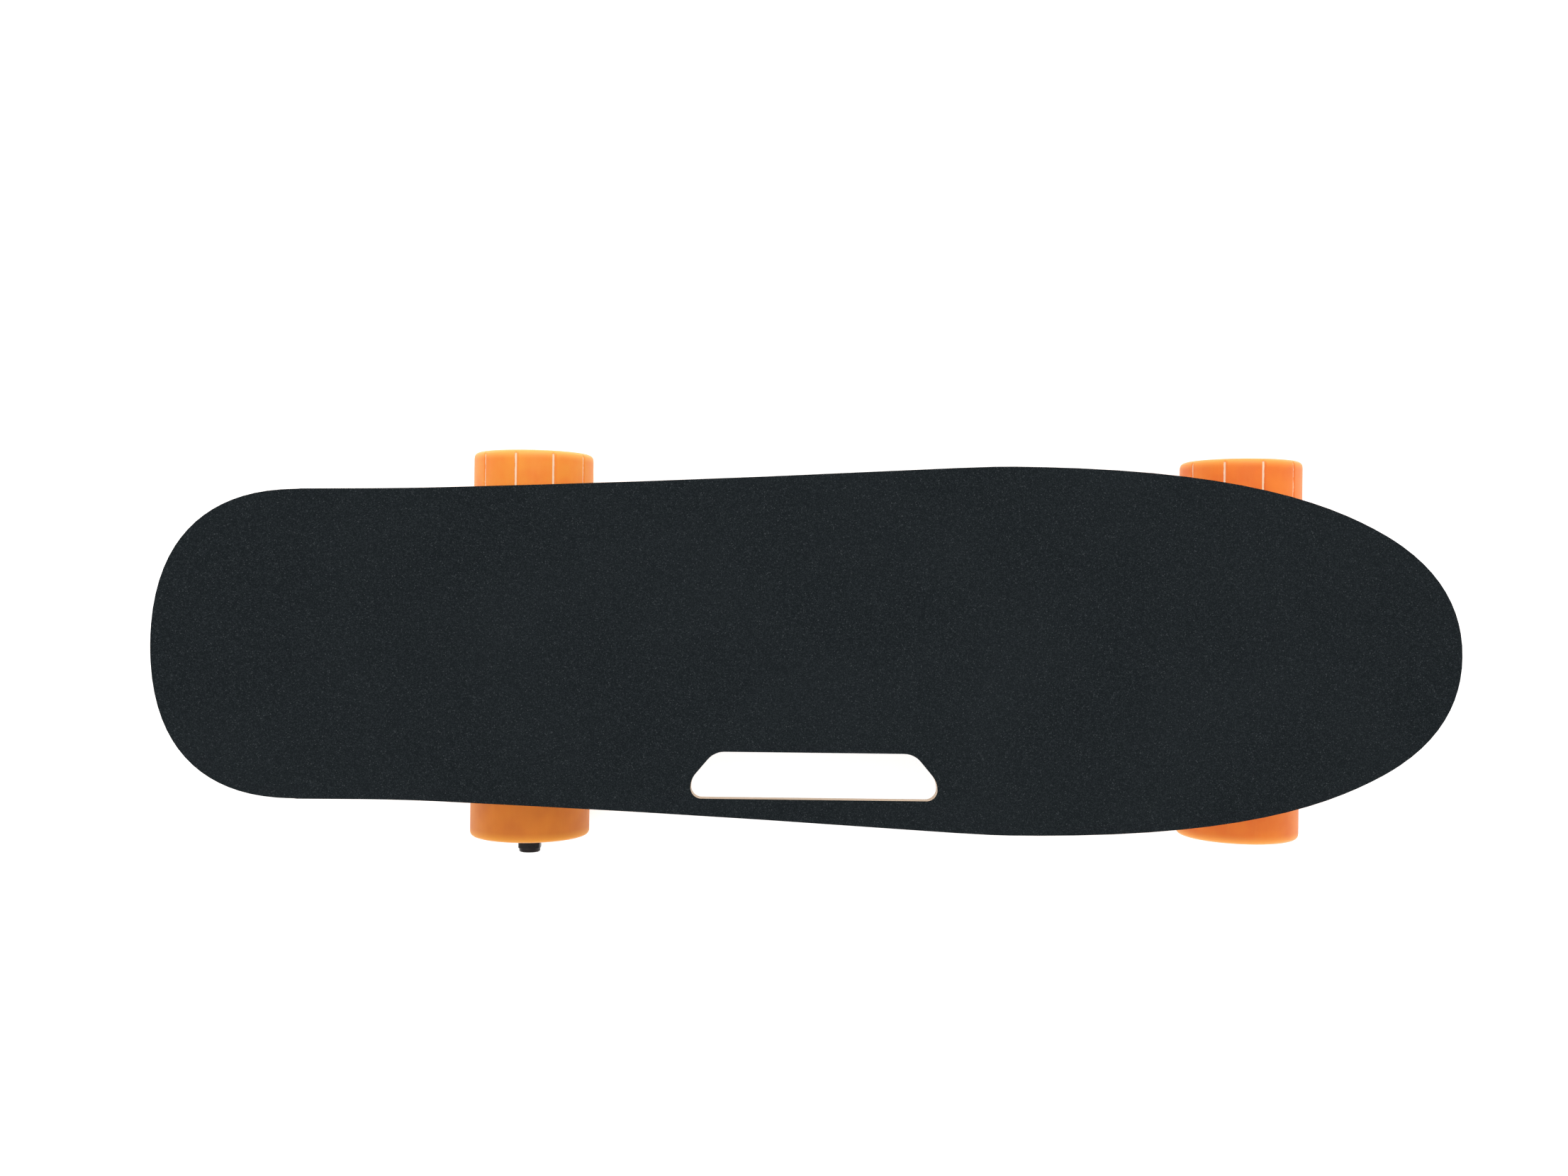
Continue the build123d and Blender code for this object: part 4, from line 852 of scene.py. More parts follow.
@dataclass(frozen=True)
class Layered(Finish):
    """Thin parallel layers along Y: laminations or wire turns."""

    colour: Colour = (0.30, 0.30, 0.31)
    line: Colour = (0.07, 0.065, 0.06)
    pitch: float = 0.5 * MM
    metallic: float = 0.9
    roughness: float = 0.4
    ridge_edge: Range = (0.5, 0.2)
    stains: Noise = Noise(120.0, 3.0)
    stain_strength: float = 0.4
    stain_dulling: float = 0.1
    relief: Range = (0.12 * MM, 0.8)

    def paint(self, p: Paint) -> None:
        """Fills in the material.

        Args:
            p: the material under construction.
        """
        _, y, _ = p.axes()
        ridge = abs((y / self.pitch).fraction() - 0.5).between(*self.ridge_edge)
        stain = p.noise(self.stains)
        tone = p.blend(ridge, self.line, p.blend(stain * self.stain_strength, self.colour, self.line))
        rough = self.roughness + self.stain_dulling * stain
        p.set(Base_Color=tone, Metallic=self.metallic, Roughness=rough)
        p.bump(ridge, *self.relief)


@dataclass(frozen=True)
class CircuitBoard(Finish):
    """Solder mask over traces, with tinned pads."""

    mask: Colour = (0.012, 0.11, 0.045)
    trace: Colour = (0.02, 0.19, 0.08)
    pad: Colour = (0.62, 0.60, 0.55)
    ways: Noise = Noise(130.0, 0.0)
    traces_in_way: float = 14.0
    trace_edge: Range = (0.45, 0.55)
    trace_strength: float = 0.7
    pads_per_metre: float = 240.0
    pad_edge: Range = (0.20, 0.17)
    pad_metal: float = 0.9
    roughness: float = 0.32
    height: float = 0.4
    relief: Range = (0.05 * MM, 0.7)

    def paint(self, p: Paint) -> None:
        """Fills in the material.

        Args:
            p: the material under construction.
        """
        lines = (p.noise(self.ways) * self.traces_in_way).fraction().between(*self.trace_edge)
        spots = p.cells(self.pads_per_metre).between(*self.pad_edge)
        tone = p.blend(lines * self.trace_strength, self.mask, self.trace)
        p.set(Base_Color=p.blend(spots, tone, self.pad), Metallic=spots * self.pad_metal)
        p.set(Roughness=self.roughness)
        p.bump(lines * self.height + spots * self.height, *self.relief)


@dataclass(frozen=True)
class ShrinkWrap(Finish):
    """Glossy heat-shrunk film on the cells."""

    film: Colour = (0.035, 0.20, 0.36)
    crease: Colour = (0.06, 0.28, 0.46)
    pull: Noise = Noise(220.0, 3.0, (1.0, 0.15, 1.0))
    pull_edge: Range = (0.4, 0.7)
    roughness: float = 0.22
    pull_dulling: float = 0.1
    coat: Range = (0.5, 0.1)
    relief: Range = (0.06 * MM, 0.4)

    def paint(self, p: Paint) -> None:
        """Fills in the material.

        Args:
            p: the material under construction.
        """
        pull = p.noise(self.pull)
        tone = p.blend(pull.between(*self.pull_edge), self.film, self.crease)
        p.set(Base_Color=tone, Roughness=self.roughness + self.pull_dulling * pull)
        p.set(Coat_Weight=self.coat[0], Coat_Roughness=self.coat[1])
        p.bump(pull, *self.relief)


@dataclass(frozen=True)
class MilkyLens(Finish):
    """Diffusing lens over a row of charge lights, which are off."""

    tint: Colour = (0.56, 0.60, 0.58)
    lamp: Colour = (0.28, 0.33, 0.30)
    lamps_per_metre: float = 260.0
    lamp_edge: Range = (0.24, 0.14)
    lamp_strength: float = 0.5
    cloud: Noise = Noise(400.0, 3.0)
    roughness: float = 0.24
    cloud_dulling: float = 0.1
    milk: float = 0.4
    milk_reach: Colour = (1.0, 1.0, 1.0)
    milk_depth: float = 1.0 * MM
    relief: Range = (0.02 * MM, 0.3)

    def paint(self, p: Paint) -> None:
        """Fills in the material.

        Args:
            p: the material under construction.
        """
        x, _, _ = p.axes()
        cloud = p.noise(self.cloud)
        lamp = abs((x * self.lamps_per_metre).fraction() - 0.5).between(*self.lamp_edge)
        tone = p.blend(lamp * self.lamp_strength, self.tint, self.lamp)
        p.set(Base_Color=tone, Roughness=self.roughness + self.cloud_dulling * cloud)
        p.set(Subsurface_Weight=self.milk, Subsurface_Radius=self.milk_reach)
        p.set(Subsurface_Scale=self.milk_depth)
        p.bump(cloud, *self.relief)


@dataclass(frozen=True)
class LockNutFinish(Finish):
    """Hex nut with a nylon ring, which the mesh marks, in its collar."""

    steel: Colour = (0.0085, 0.0070, 0.0070)
    # For the black nut this shade is reddish: a painted reddish highlight, laid in random patches.
    shade: Colour = (0.016, 0.0085, 0.0075)
    ring: Colour = (0.035, 0.006, 0.005)
    metallic: float = 0.12
    roughness: float = 0.20
    ring_edge: Range = (0.35, 0.65)
    bloom: Noise = Noise(240.0, 4.0)
    fine: Noise = Noise(2600.0, 3.0)
    bloom_edge: Range = (0.35, 0.75)
    bloom_dulling: float = 0.12
    fine_dulling: float = 0.05
    ring_dulling: float = 0.15
    specular: float = 0.22
    fine_height: float = 0.6
    bloom_height: float = 0.3
    relief: Range = (0.03 * MM, 0.4)

    def paint(self, p: Paint) -> None:
        """Fills in the material.

        Args:
            p: the material under construction.
        """
        nylon = p.attribute("ring").between(*self.ring_edge)
        bloom, fine = p.noise(self.bloom), p.noise(self.fine)
        # bloom patches: plating bloom on the zinc nut, painted reddish highlight on the black nut
        tone = p.blend(bloom.between(*self.bloom_edge), self.steel, self.shade)
        tone = p.blend(nylon, tone, self.ring)
        rough = self.roughness + self.bloom_dulling * bloom
        rough = rough + self.fine_dulling * fine + self.ring_dulling * nylon
        p.set(Base_Color=tone, Metallic=self.metallic - self.metallic * nylon, Roughness=rough)
        p.set(Specular_IOR_Level=self.specular)
        p.bump(fine * self.fine_height + bloom * self.bloom_height, *self.relief)


@dataclass(frozen=True)
class StudioFloor(Finish):
    """Plain pale paper, lit a little from below."""

    colour: Colour = (0.80, 0.80, 0.80)
    light: Colour = (1.0, 1.0, 1.0)
    glow: float = 0.52
    roughness: float = 0.9
    specular: float = 0.1

    def paint(self, p: Paint) -> None:
        """Fills in the material.

        Args:
            p: the material under construction.
        """
        p.set(Base_Color=self.colour, Roughness=self.roughness, Specular_IOR_Level=self.specular)
        p.set(Emission_Color=self.light, Emission_Strength=self.glow)


BLACK_OXIDE = PlatedSteel("black_oxide_steel", (0.020, 0.019, 0.019), (0.032, 0.029, 0.028), 0.24, 0.6)
ZINC = PlatedSteel("zinc_plated_steel")
CASTING = PaintedCasting("black_truck_coat")
BOX_PLASTIC = Moulded("textured_box_plastic", grains_per_metre=1100.0, depth=0.10 * MM)
BUSHING = Moulded("orange_bushing", (0.70, 0.16, 0.026), (0.80, 0.23, 0.040), 0.40, 1400.0, 0.03 * MM, 0.15)
HARD_RUBBER = Moulded("black_rubber", (0.016, 0.016, 0.016), (0.028, 0.027, 0.026), 0.66, 1800.0)
NYLON = Moulded("glass_filled_nylon", (0.018, 0.018, 0.019), (0.034, 0.034, 0.035), 0.44, 2200.0)
BLACK_NUT = LockNutFinish("black_lock_nut")
ZINC_NUT = LockNutFinish(
    "zinc_lock_nut", (0.56, 0.57, 0.58), (0.38, 0.38, 0.37), (0.05, 0.12, 0.30), 1.0, 0.26
)


# ------------------------------------------------------------------ mesh building


def mesh_object(name: str, mesh: bpy.types.Mesh) -> bpy.types.Object:
    """Puts a mesh into the scene at the origin.

    Args:
        name: of the new object.
        mesh: its mesh.

    Returns:
        The object.
    """
    obj = bpy.data.objects.new(name, mesh)
    bpy.context.scene.collection.objects.link(obj)
    return obj


def mesh_from(bm: bmesh.types.BMesh, name: str) -> bpy.types.Mesh:
    """Turns an editable mesh, which goes away, into a plain one.

    Args:
        bm: the editable mesh.
        name: of the plain one.

    Returns:
        The plain mesh.
    """
    mesh = bpy.data.meshes.new(name)
    bm.to_mesh(mesh)
    bm.free()
    return mesh


def close_rings(bm: bmesh.types.BMesh, rings: Sequence[Sequence[bmesh.types.BMVert]], around: bool) -> None:
    """Joins rings of points into a skin.

    Args:
        bm: the mesh that the points are in.
        rings: the rings, each with as many points.
        around: whether the last ring joins the first one too.
    """
    for index in range(len(rings) if around else len(rings) - 1):
        ring, after = rings[index], rings[(index + 1) % len(rings)]
        for i in range(len(ring)):
            j = (i + 1) % len(ring)
            bm.faces.new((ring[i], ring[j], after[j], after[i]))


def finished(
    obj: bpy.types.Object,
    finish: Finish,
    body: Body,
    replaces: Sequence[str] = (),
) -> bpy.types.Object:
    """Dresses a new piece and ties it to its body.

    Args:
        obj: the piece.
        finish: its finish.
        body: the body that it rides on.
        replaces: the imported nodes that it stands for.

    Returns:
        The piece.
    """
    obj.data.materials.clear()
    obj.data.materials.append(finish.material())
    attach(obj, body.value)
    if replaces:
        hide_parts(*replaces)
    LOG.info("made %s with %d faces", obj.name, len(obj.data.polygons))
    return obj


def bending(
    obj: bpy.types.Object,
    finish: Finish,
    bodies: tuple[Body, Body],
    span: tuple[Vector, Vector],
    slot: str,
    replaces: str,
) -> bpy.types.Object:
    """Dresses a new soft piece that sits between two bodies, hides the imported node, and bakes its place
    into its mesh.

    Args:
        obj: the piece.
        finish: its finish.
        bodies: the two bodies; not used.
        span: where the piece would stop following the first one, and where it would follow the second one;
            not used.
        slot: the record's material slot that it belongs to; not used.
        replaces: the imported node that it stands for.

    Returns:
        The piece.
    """
    obj.data.materials.clear()
    obj.data.materials.append(finish.material())
    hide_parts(replaces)
    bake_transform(obj)
    LOG.info("made %s with %d faces", obj.name, len(obj.data.polygons))
    return obj


def rounded(corners: Sequence[Corner], steps: int) -> list[Point]:
    """Rounds the corners of a closed outline.

    Args:
        corners: radius, distance along the axis and fillet radius of each corner.
        steps: pieces in each rounding.

    Returns:
        The rounded outline.
    """
    most = 0.49  # share of a side that a rounding may use
    outline: list[Point] = []
    for index, (r, y, fillet) in enumerate(corners):
        here = Vector((r, y))
        back = Vector(corners[index - 1][:2]) - here
        ahead = Vector(corners[(index + 1) % len(corners)][:2]) - here
        if fillet <= 0.0:
            outline.append((r, y))
            continue
        half = back.angle(ahead) / 2
        reach = min(fillet / math.tan(half), most * back.length, most * ahead.length)
        start, end = here + back.normalized() * reach, here + ahead.normalized() * reach
        for i in range(steps + 1):
            t = i / steps
            point = start * (1 - t) ** 2 + here * (2 * t * (1 - t)) + end * t**2
            outline.append((point.x, point.y))
    return outline


def mirrored(half: Sequence[Corner]) -> list[Corner]:
    """Closed corners of an outline whose second half is the first one mirrored along the axis."""
    return [(r, -y, fillet) for r, y, fillet in half] + list(half[::-1])


def even_angles(count: int) -> list[float]:
    """Evenly spaced angles round a full turn."""
    return [math.tau * i / count for i in range(count)]


def lathe(
    name: str,
    outline: Sequence[Point],
    centre: Vector,
    side: Side,
    angles: Sequence[float],
    shape: Callable[[float, float, float], Point] | None = None,
) -> bpy.types.Object:
    """Turns a closed outline round the Y axis.

    Args:
        name: of the piece.
        outline: radius and distance along the axis, round a closed loop.
        centre: where the axis's zero is.
        side: which way the distance along the axis counts.
        angles: places of the cross-sections, in radians.
        shape: changes the radius and distance of a point, given its angle too.

    Returns:
        The ring, closed, with its faces outwards.
    """
    bm = bmesh.new()
    rings = []
    for angle in angles:
        ring = []
        for r, y in outline:
            if shape is not None:
                r, y = shape(angle, r, y)
            spot = Vector((r * math.cos(angle), side.value * y, r * math.sin(angle)))
            ring.append(bm.verts.new(centre + spot))
        rings.append(ring)
    close_rings(bm, rings, around=True)
    bmesh.ops.remove_doubles(bm, verts=bm.verts, dist=SAME_PLACE)
    bmesh.ops.recalc_face_normals(bm, faces=bm.faces)
    mesh = mesh_from(bm, name)
    shade(mesh)
    return mesh_object(name, mesh)


def shade(mesh: bpy.types.Mesh, crease: float = 32.0) -> None:
    """Smooth shading with edges sharper than the crease angle kept sharp."""
    mesh.shade_smooth()
    mesh.set_sharp_from_angle(angle=math.radians(crease))


def merged_copy(node: str, name: str) -> bpy.types.Object:
    """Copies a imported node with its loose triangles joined.

    Args:
        node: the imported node.
        name: of the copy.

    Returns:
        The copy, without materials.
    """
    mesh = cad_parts[node].data.copy()
    bm = bmesh.new()
    bm.from_mesh(mesh)
    bmesh.ops.remove_doubles(bm, verts=bm.verts, dist=PACKED_SEAM)
    bm.to_mesh(mesh)
    bm.free()
    mesh.materials.clear()
    return mesh_object(name, mesh)


def evaluated_mesh(obj: bpy.types.Object) -> bpy.types.Mesh:
    """Plain mesh of an object as its modifiers or its curve settings make it."""
    graph = bpy.context.evaluated_depsgraph_get()
    return bpy.data.meshes.new_from_object(obj.evaluated_get(graph))


def bake_modifiers(obj: bpy.types.Object) -> None:
    """Turns an object's modifiers into plain mesh.

    Args:
        obj: the object, which keeps its name.
    """
    mesh = evaluated_mesh(obj)
    obj.modifiers.clear()
    old, obj.data = obj.data, mesh
    mesh.name = obj.name
    bpy.data.meshes.remove(old)


def cast_copy(
    node: str, name: str, passes: int, voxel: float = 0.55 * MM, pull: float = 0.5, kept: float = 0.35
) -> bpy.types.Object:
    """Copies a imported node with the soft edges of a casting.

    Args:
        node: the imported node.
        name: of the new piece.
        passes: of smoothing.
        voxel: size of the remeshing grid.
        pull: of each pass of smoothing.
        kept: share of the faces that stays.

    Returns:
        The piece as plain mesh.
    """
    obj = merged_copy(node, name)
    remesh = obj.modifiers.new("even_skin", "REMESH")
    remesh.mode = "VOXEL"
    remesh.voxel_size = voxel
    soften = obj.modifiers.new("cast_edges", "SMOOTH")
    soften.factor = pull
    soften.iterations = passes
    thin = obj.modifiers.new("fewer_faces", "DECIMATE")
    thin.ratio = kept
    bake_modifiers(obj)
    obj.data.shade_smooth()
    return obj


# ------------------------------------------------------------------ repeated pieces


class GeometryTree(NodeBuilder):
    """A Geometry Nodes tree under construction."""

    def __init__(self, name: str, **sizes: str) -> None:
        """Starts a tree with its geometry, a material and its named inputs.

        Args:
            name: of the tree.
            **sizes: kind of each input, such as Float or Object; underscores in the names stand for spaces.
        """
        super().__init__(bpy.data.node_groups.new(name, "GeometryNodeTree"))
        face = self.tree.interface
        face.new_socket("Geometry", in_out="INPUT", socket_type="NodeSocketGeometry")
        face.new_socket("Geometry", in_out="OUTPUT", socket_type="NodeSocketGeometry")
        self.start = self.tree.nodes.new("NodeGroupInput")
        self.end = self.tree.nodes.new("NodeGroupOutput")
        self.inputs: dict[str, str] = {}
        for size, kind in (sizes | {"Material": "Material"}).items():
            size = size.replace("_", " ")
            item = face.new_socket(size, in_out="INPUT", socket_type=f"NodeSocket{kind}")
            self.inputs[size] = item.identifier

    def given(self, name: str) -> bpy.types.NodeSocket:
        """The socket of a named input."""
        return next(s for s in self.start.outputs if s.identifier == self.inputs[name])

    def number(self, name: str) -> Value:
        """A named input as a number to reckon with."""
        return Value(self.tree, self.given(name))

    def store(self, geometry: bpy.types.NodeSocket, name: str, value: Value) -> bpy.types.NodeSocket:
        """Stores a number on each point.

        Args:
            geometry: where the points are.
            name: of the attribute.
            value: the number.

        Returns:
            The geometry with the attribute.
        """
        settings = {"data_type": "FLOAT", "domain": "POINT"}
        inputs = {"Geometry": geometry, "Name": name, "Value": value}
        return self.node("GeometryNodeStoreNamedAttribute", settings, inputs).outputs[0]

    def set_parts(self, points: bpy.types.NodeSocket, turn: bpy.types.NodeSocket) -> None:
        """Ends the tree with its part on each point.

        Args:
            points: where the parts go.
            turn: how each one is turned.
        """
        part = self.node("GeometryNodeObjectInfo", {}, {"Object": self.given("Part")})
        inputs = {"Points": points, "Instance": part.outputs["Geometry"], "Rotation": turn}
        self.close(self.node("GeometryNodeInstanceOnPoints", {}, inputs).outputs[0])

    def close(self, geometry: bpy.types.NodeSocket) -> None:
        """Realizes the instances, sets the material and ends the tree.

        Args:
            geometry: what the tree made.
        """
        whole = self.node("GeometryNodeRealizeInstances", {}, {"Geometry": geometry}).outputs[0]
        inputs = {"Geometry": whole, "Material": self.given("Material")}
        dressed = self.node("GeometryNodeSetMaterial", {}, inputs)
        self.tree.links.new(dressed.outputs[0], self.end.inputs[0])

    def grow(self, obj: bpy.types.Object, values: dict[str, object]) -> None:
        """Runs the tree on an object and keeps the result as plain mesh.

        Args:
            obj: the object that the tree starts from.
            values: a value for each named input.
        """
        modifier = obj.modifiers.new(self.tree.name, "NODES")
        modifier.node_group = self.tree
        for name, value in values.items():
            modifier[self.inputs[name]] = value
        bake_modifiers(obj)


def spots_tree() -> GeometryTree:
    """Builds the tree that puts one part on each point of a mesh.

    Returns:
        The tree.
    """
    made = GeometryTree("part_on_each_spot", Part="Object")
    settings = {"data_type": "FLOAT_VECTOR"}
    turn = made.node("GeometryNodeInputNamedAttribute", settings, {"Name": "turn"})
    made.set_parts(made.start.outputs[0], turn.outputs["Attribute"])
    return made


def ring_tree() -> GeometryTree:
    """Builds the tree that sets parts round a circle in the XY plane, each turned to face out.

    Returns:
        The tree.
    """
    made = GeometryTree("parts_round_a_circle", Part="Object", Count="Int", Radius="Float")
    sizes = {"Vertices": made.given("Count"), "Radius": made.given("Radius")}
    circle = made.node("GeometryNodeMeshCircle", {}, sizes)
    index = Value(made.tree, made.node("GeometryNodeInputIndex", {}, {}).outputs[0])
    step = index.math("DIVIDE", math.tau, made.number("Count"))
    angle = made.node("ShaderNodeCombineXYZ", {}, {"Z": index * step})
    made.set_parts(circle.outputs[0], angle.outputs[0])
    return made


def groove_tree(
    core: float = 0.55,
    mouth: float = 1.25,
    fade_in: float = 3.5 * MM,
    side_fade: Range = (3.2 * MM, 0.8 * MM),
    shadow_at: float = 0.95,
    shadow: Range = (0.3, 0.9),
) -> GeometryTree:
    """Builds the tree that presses narrow grooves across a tread that turns about Y, and marks them for their
    painted highlight and the painted shadow beside them.

    Args:
        core: full depth up to this share of half the width.
        mouth: no depth past this share of it.
        fade_in: distance under the tread over which a groove grows.
        side_fade: distances from the tyre's side between which it ends.
        shadow_at: how far beside a groove its shaded side runs, as a share of the width.
        shadow: shares of half the width between which the shade fades.

    Returns:
        The tree.
    """
    floats = ("Count", "Phase", "Width", "Depth", "Tread", "Half_Width")
    made = GeometryTree("tread_grooves", **dict.fromkeys(floats, "Float"), Centre="Vector")
    count, width, tread = made.number("Count"), made.number("Width"), made.number("Tread")
    side = made.number("Half Width")
    position = made.node("GeometryNodeInputPosition", {}, {}).outputs[0]
    ends = {0: position, 1: made.given("Centre")}
    local = made.node("ShaderNodeVectorMath", {"operation": "SUBTRACT"}, ends).outputs[0]
    x, y, z = made.parts(local)
    reach = (x * x + z * z).root()
    turn = (z.angle_from(x) - made.number("Phase")) / math.tau
    cell = (turn * count + 0.5).fraction() - 0.5
    arc = cell / count * (math.tau * reach)
    half = width * 0.5
    across = abs(arc).fading(half * core, half * mouth)
    on_tread = 1.0 - reach.fading(tread - fade_in, tread)
    inside = abs(y).fading(side - side_fade[0], side - side_fade[1])
    area = on_tread * inside
    mark = across * area
    drop = mark * made.number("Depth") / reach
    flat = made.node("ShaderNodeCombineXYZ", {}, {"X": x, "Z": z}).outputs[0]
    sizes = {0: flat, "Scale": drop * -1.0}
    offset = made.node("ShaderNodeVectorMath", {"operation": "SCALE"}, sizes).outputs[0]
    kept = made.store(made.start.outputs[0], "groove", mark)
    # painted shadow beside each groove, stored as groove_edge
    shade_line = abs(arc + width * shadow_at).fading(half * shadow[0], half * shadow[1])
    kept = made.store(kept, "groove_edge", shade_line * area)
    moved = made.node("GeometryNodeSetPosition", {}, {"Geometry": kept, "Offset": offset})
    made.close(moved.outputs[0])
    return made


def centre_of(node: str) -> Vector:
    """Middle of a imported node's box."""
    low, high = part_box(node)
    return (low + high) / 2


def solids_of(node: str) -> list[tuple[Vector, Vector]]:
    """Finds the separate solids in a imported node.

    Args:
        node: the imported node.

    Returns:
        The middle and size of each solid's box, in the order of X and then Y.
    """
    copy = merged_copy(node, "loose_parts")
    bm = bmesh.new()
    bm.from_mesh(copy.data)
    left = set(bm.verts)
    found = []
    while left:
        stack = [left.pop()]
        island = []
        while stack:
            vert = stack.pop()
            island.append(vert.co.copy())
            for edge in vert.link_edges:
                other = edge.other_vert(vert)
                if other in left:
                    left.discard(other)
                    stack.append(other)
        low = Vector([min(c[i] for c in island) for i in range(3)])
        high = Vector([max(c[i] for c in island) for i in range(3)])
        found.append(((low + high) / 2, high - low))
    bm.free()
    bpy.data.objects.remove(copy)
    return sorted(found, key=lambda item: (round(item[0].x, 4), round(item[0].y, 4)))


def dress(node: str, finish: Finish) -> None:
    """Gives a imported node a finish.

    Args:
        node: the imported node.
        finish: its finish.
    """
    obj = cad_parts[node]
    material = finish.material()
    if not obj.material_slots:
        obj.data.materials.append(material)
    for slot in obj.material_slots:
        slot.material = material
    LOG.info("dressed %s in %s", node, finish.name)


# ------------------------------------------------------------------ fasteners


@dataclass(frozen=True)
class Row:
    """One ring of a stacked part. No point is further out than the limit; the mark is for the finish."""

    radius: float
    height: float
    hexagonal: bool = False
    limit: float = math.inf
    mark: float = 0.0


def hexed(radius: float, angle: float) -> float:
    """Distance to a hexagon's outline at an angle, with corners at the radius and one of them at zero."""
    part = (angle % (math.pi / 3)) - math.pi / 6
    return radius * math.cos(math.pi / 6) / math.cos(part)


def stacked(name: str, rows: Sequence[Row], steps: int = 24) -> bpy.types.Object:
    """Part made of rings of points stacked along Z, from the first row to the last.

    Args:
        name: of the part.
        rows: the rings.
        steps: points in each ring.

    Returns:
        A template object for a repeated part.
    """
    bm = bmesh.new()
    mark = bm.verts.layers.float.new("ring")
    rings = []
    for row in rows:
        ring = []
        for angle in even_angles(steps):
            reach = hexed(row.radius, angle) if row.hexagonal else row.radius
            reach = min(reach, row.limit)
            vert = bm.verts.new((reach * math.cos(angle), reach * math.sin(angle), row.height))
            vert[mark] = row.mark
            ring.append(vert)
        rings.append(ring)
    close_rings(bm, rings, around=False)
    bm.faces.new(rings[0][::-1])
    bm.faces.new(rings[-1])
    bmesh.ops.recalc_face_normals(bm, faces=bm.faces)
    return mesh_object(name, mesh_from(bm, name))


@dataclass(frozen=True)
class SocketScrew:
    """Screw with a hex socket. Its seat is at Z 0 and its head points up; with no rise it is countersunk."""

    head: float
    rise: float
    socket: float
    socket_depth: float
    shank: float
    length: float
    sink: float = 0.0

    def part(self, name: str) -> bpy.types.Object:
        """Makes the template of the screw.

        Args:
            name: of the template.

        Returns:
            The template.
        """
        r, h, tip = self.head, self.rise, 0.8  # the tip is narrower than the shank
        rows = [Row(self.shank * tip, -self.length), Row(self.shank, -self.length + self.shank * 0.3)]
        if self.sink:
            rows += [Row(self.shank, -self.sink), Row(r * 0.97, -0.1 * MM)]
            rows += [Row(r, -0.05 * MM), Row(r * 0.95, 0.0)]
        else:
            dome = ((1.0, 0.0), (1.0, 0.25), (0.93, 0.62), (0.74, 0.91), (0.58, 1.0))
            rows += [Row(self.shank, 0.0), *(Row(r * width, h * height) for width, height in dome)]
        mouth, break_depth = 1.1, 0.15 * MM  # the socket's broken edge
        rows += [Row(self.socket * mouth, h, True), Row(self.socket, h - break_depth, True)]
        rows += [Row(self.socket, h - self.socket_depth, True)]
        return stacked(name, rows)


COVER_SCREW = SocketScrew(2.4 * MM, 0.0, 1.15 * MM, 1.0 * MM, 1.2 * MM, 11.0 * MM, 2.0 * MM)
BOX_SCREW = SocketScrew(3.3 * MM, 2.0 * MM, 1.45 * MM, 1.2 * MM, 1.7 * MM, 10.4 * MM)


@dataclass(frozen=True)
class LockNut:
    """Hex nut with a nylon ring, its seat at Z 0 and its collar up, and the bolt's end in it."""

    flats: float
    height: float
    bolt: float
    bolt_end: float
    collar: float = 2.0 * MM
    collar_share: float = 0.90
    steps: int = 36

    def part(self, name: str) -> bpy.types.Object:
        """Makes the template of the nut, closed under its seat.

        Args:
            name: of the template.

        Returns:
            The template.
        """
        corner = self.flats / math.sqrt(3.0)
        flat, top, low = self.flats / 2, self.height, self.height - self.collar
        rim, mouth, ring = flat * self.collar_share, self.bolt + 0.9 * MM, self.bolt + 0.12 * MM
        rows = [
            Row(flat * 0.92, 0.0),
            Row(flat * 0.97, 0.0),
            Row(corner, 0.45 * MM, True, flat * 1.08),
            Row(corner, 0.8 * MM, True, corner * 0.985),
            Row(corner, low - 0.75 * MM, True, corner * 0.985),
            Row(corner, low - 0.35 * MM, True, flat * 1.07),
            Row(max(flat * 0.97, rim), low),
            Row(rim, low + 0.1 * MM),
            Row(rim, top - 0.5 * MM),
            Row(rim - 0.35 * MM, top - 0.05 * MM),
            Row(mouth + 0.15 * MM, top),
            Row(mouth, top - 0.15 * MM),
            Row(mouth, top - 0.5 * MM),
            Row(mouth - 0.05 * MM, top - 0.5 * MM, mark=1.0),
            Row(ring + 0.1 * MM, top - 0.55 * MM, mark=1.0),
            Row(ring, top - 0.8 * MM, mark=1.0),
            Row(self.bolt, top - 0.8 * MM),
            Row(self.bolt, top + self.bolt_end - 0.4 * MM),
            Row(self.bolt - 0.4 * MM, top + self.bolt_end),
        ]
        return stacked(name, rows, self.steps)


@dataclass(frozen=True)
class Spot:
    """Where a repeated part goes: the place of its seat and its turn."""

    place: Vector
    turn: Matrix


def repeated(
    name: str, part: bpy.types.Object, spots: Sequence[Spot], tree: GeometryTree, finish: Finish
) -> bpy.types.Object:
    """Puts one part on each spot, as one plain mesh.

    Args:
        name: of the new piece.
        part: the template, which goes away.
        spots: where the parts go.
        tree: the tree that does it.
        finish: of the parts.

    Returns:
        The piece.
    """
    mesh = bpy.data.meshes.new(name)
    mesh.from_pydata([tuple(spot.place) for spot in spots], [], [])
    turn = mesh.attributes.new("turn", "FLOAT_VECTOR", "POINT")
    for item, spot in zip(turn.data, spots):
        item.vector = tuple(spot.turn.to_euler())
    piece = mesh_object(name, mesh)
    tree.grow(piece, {"Part": part, "Material": finish.material()})
    bpy.data.objects.remove(part)
    shade(piece.data)
    return piece


# ------------------------------------------------------------------ sub-assemblies


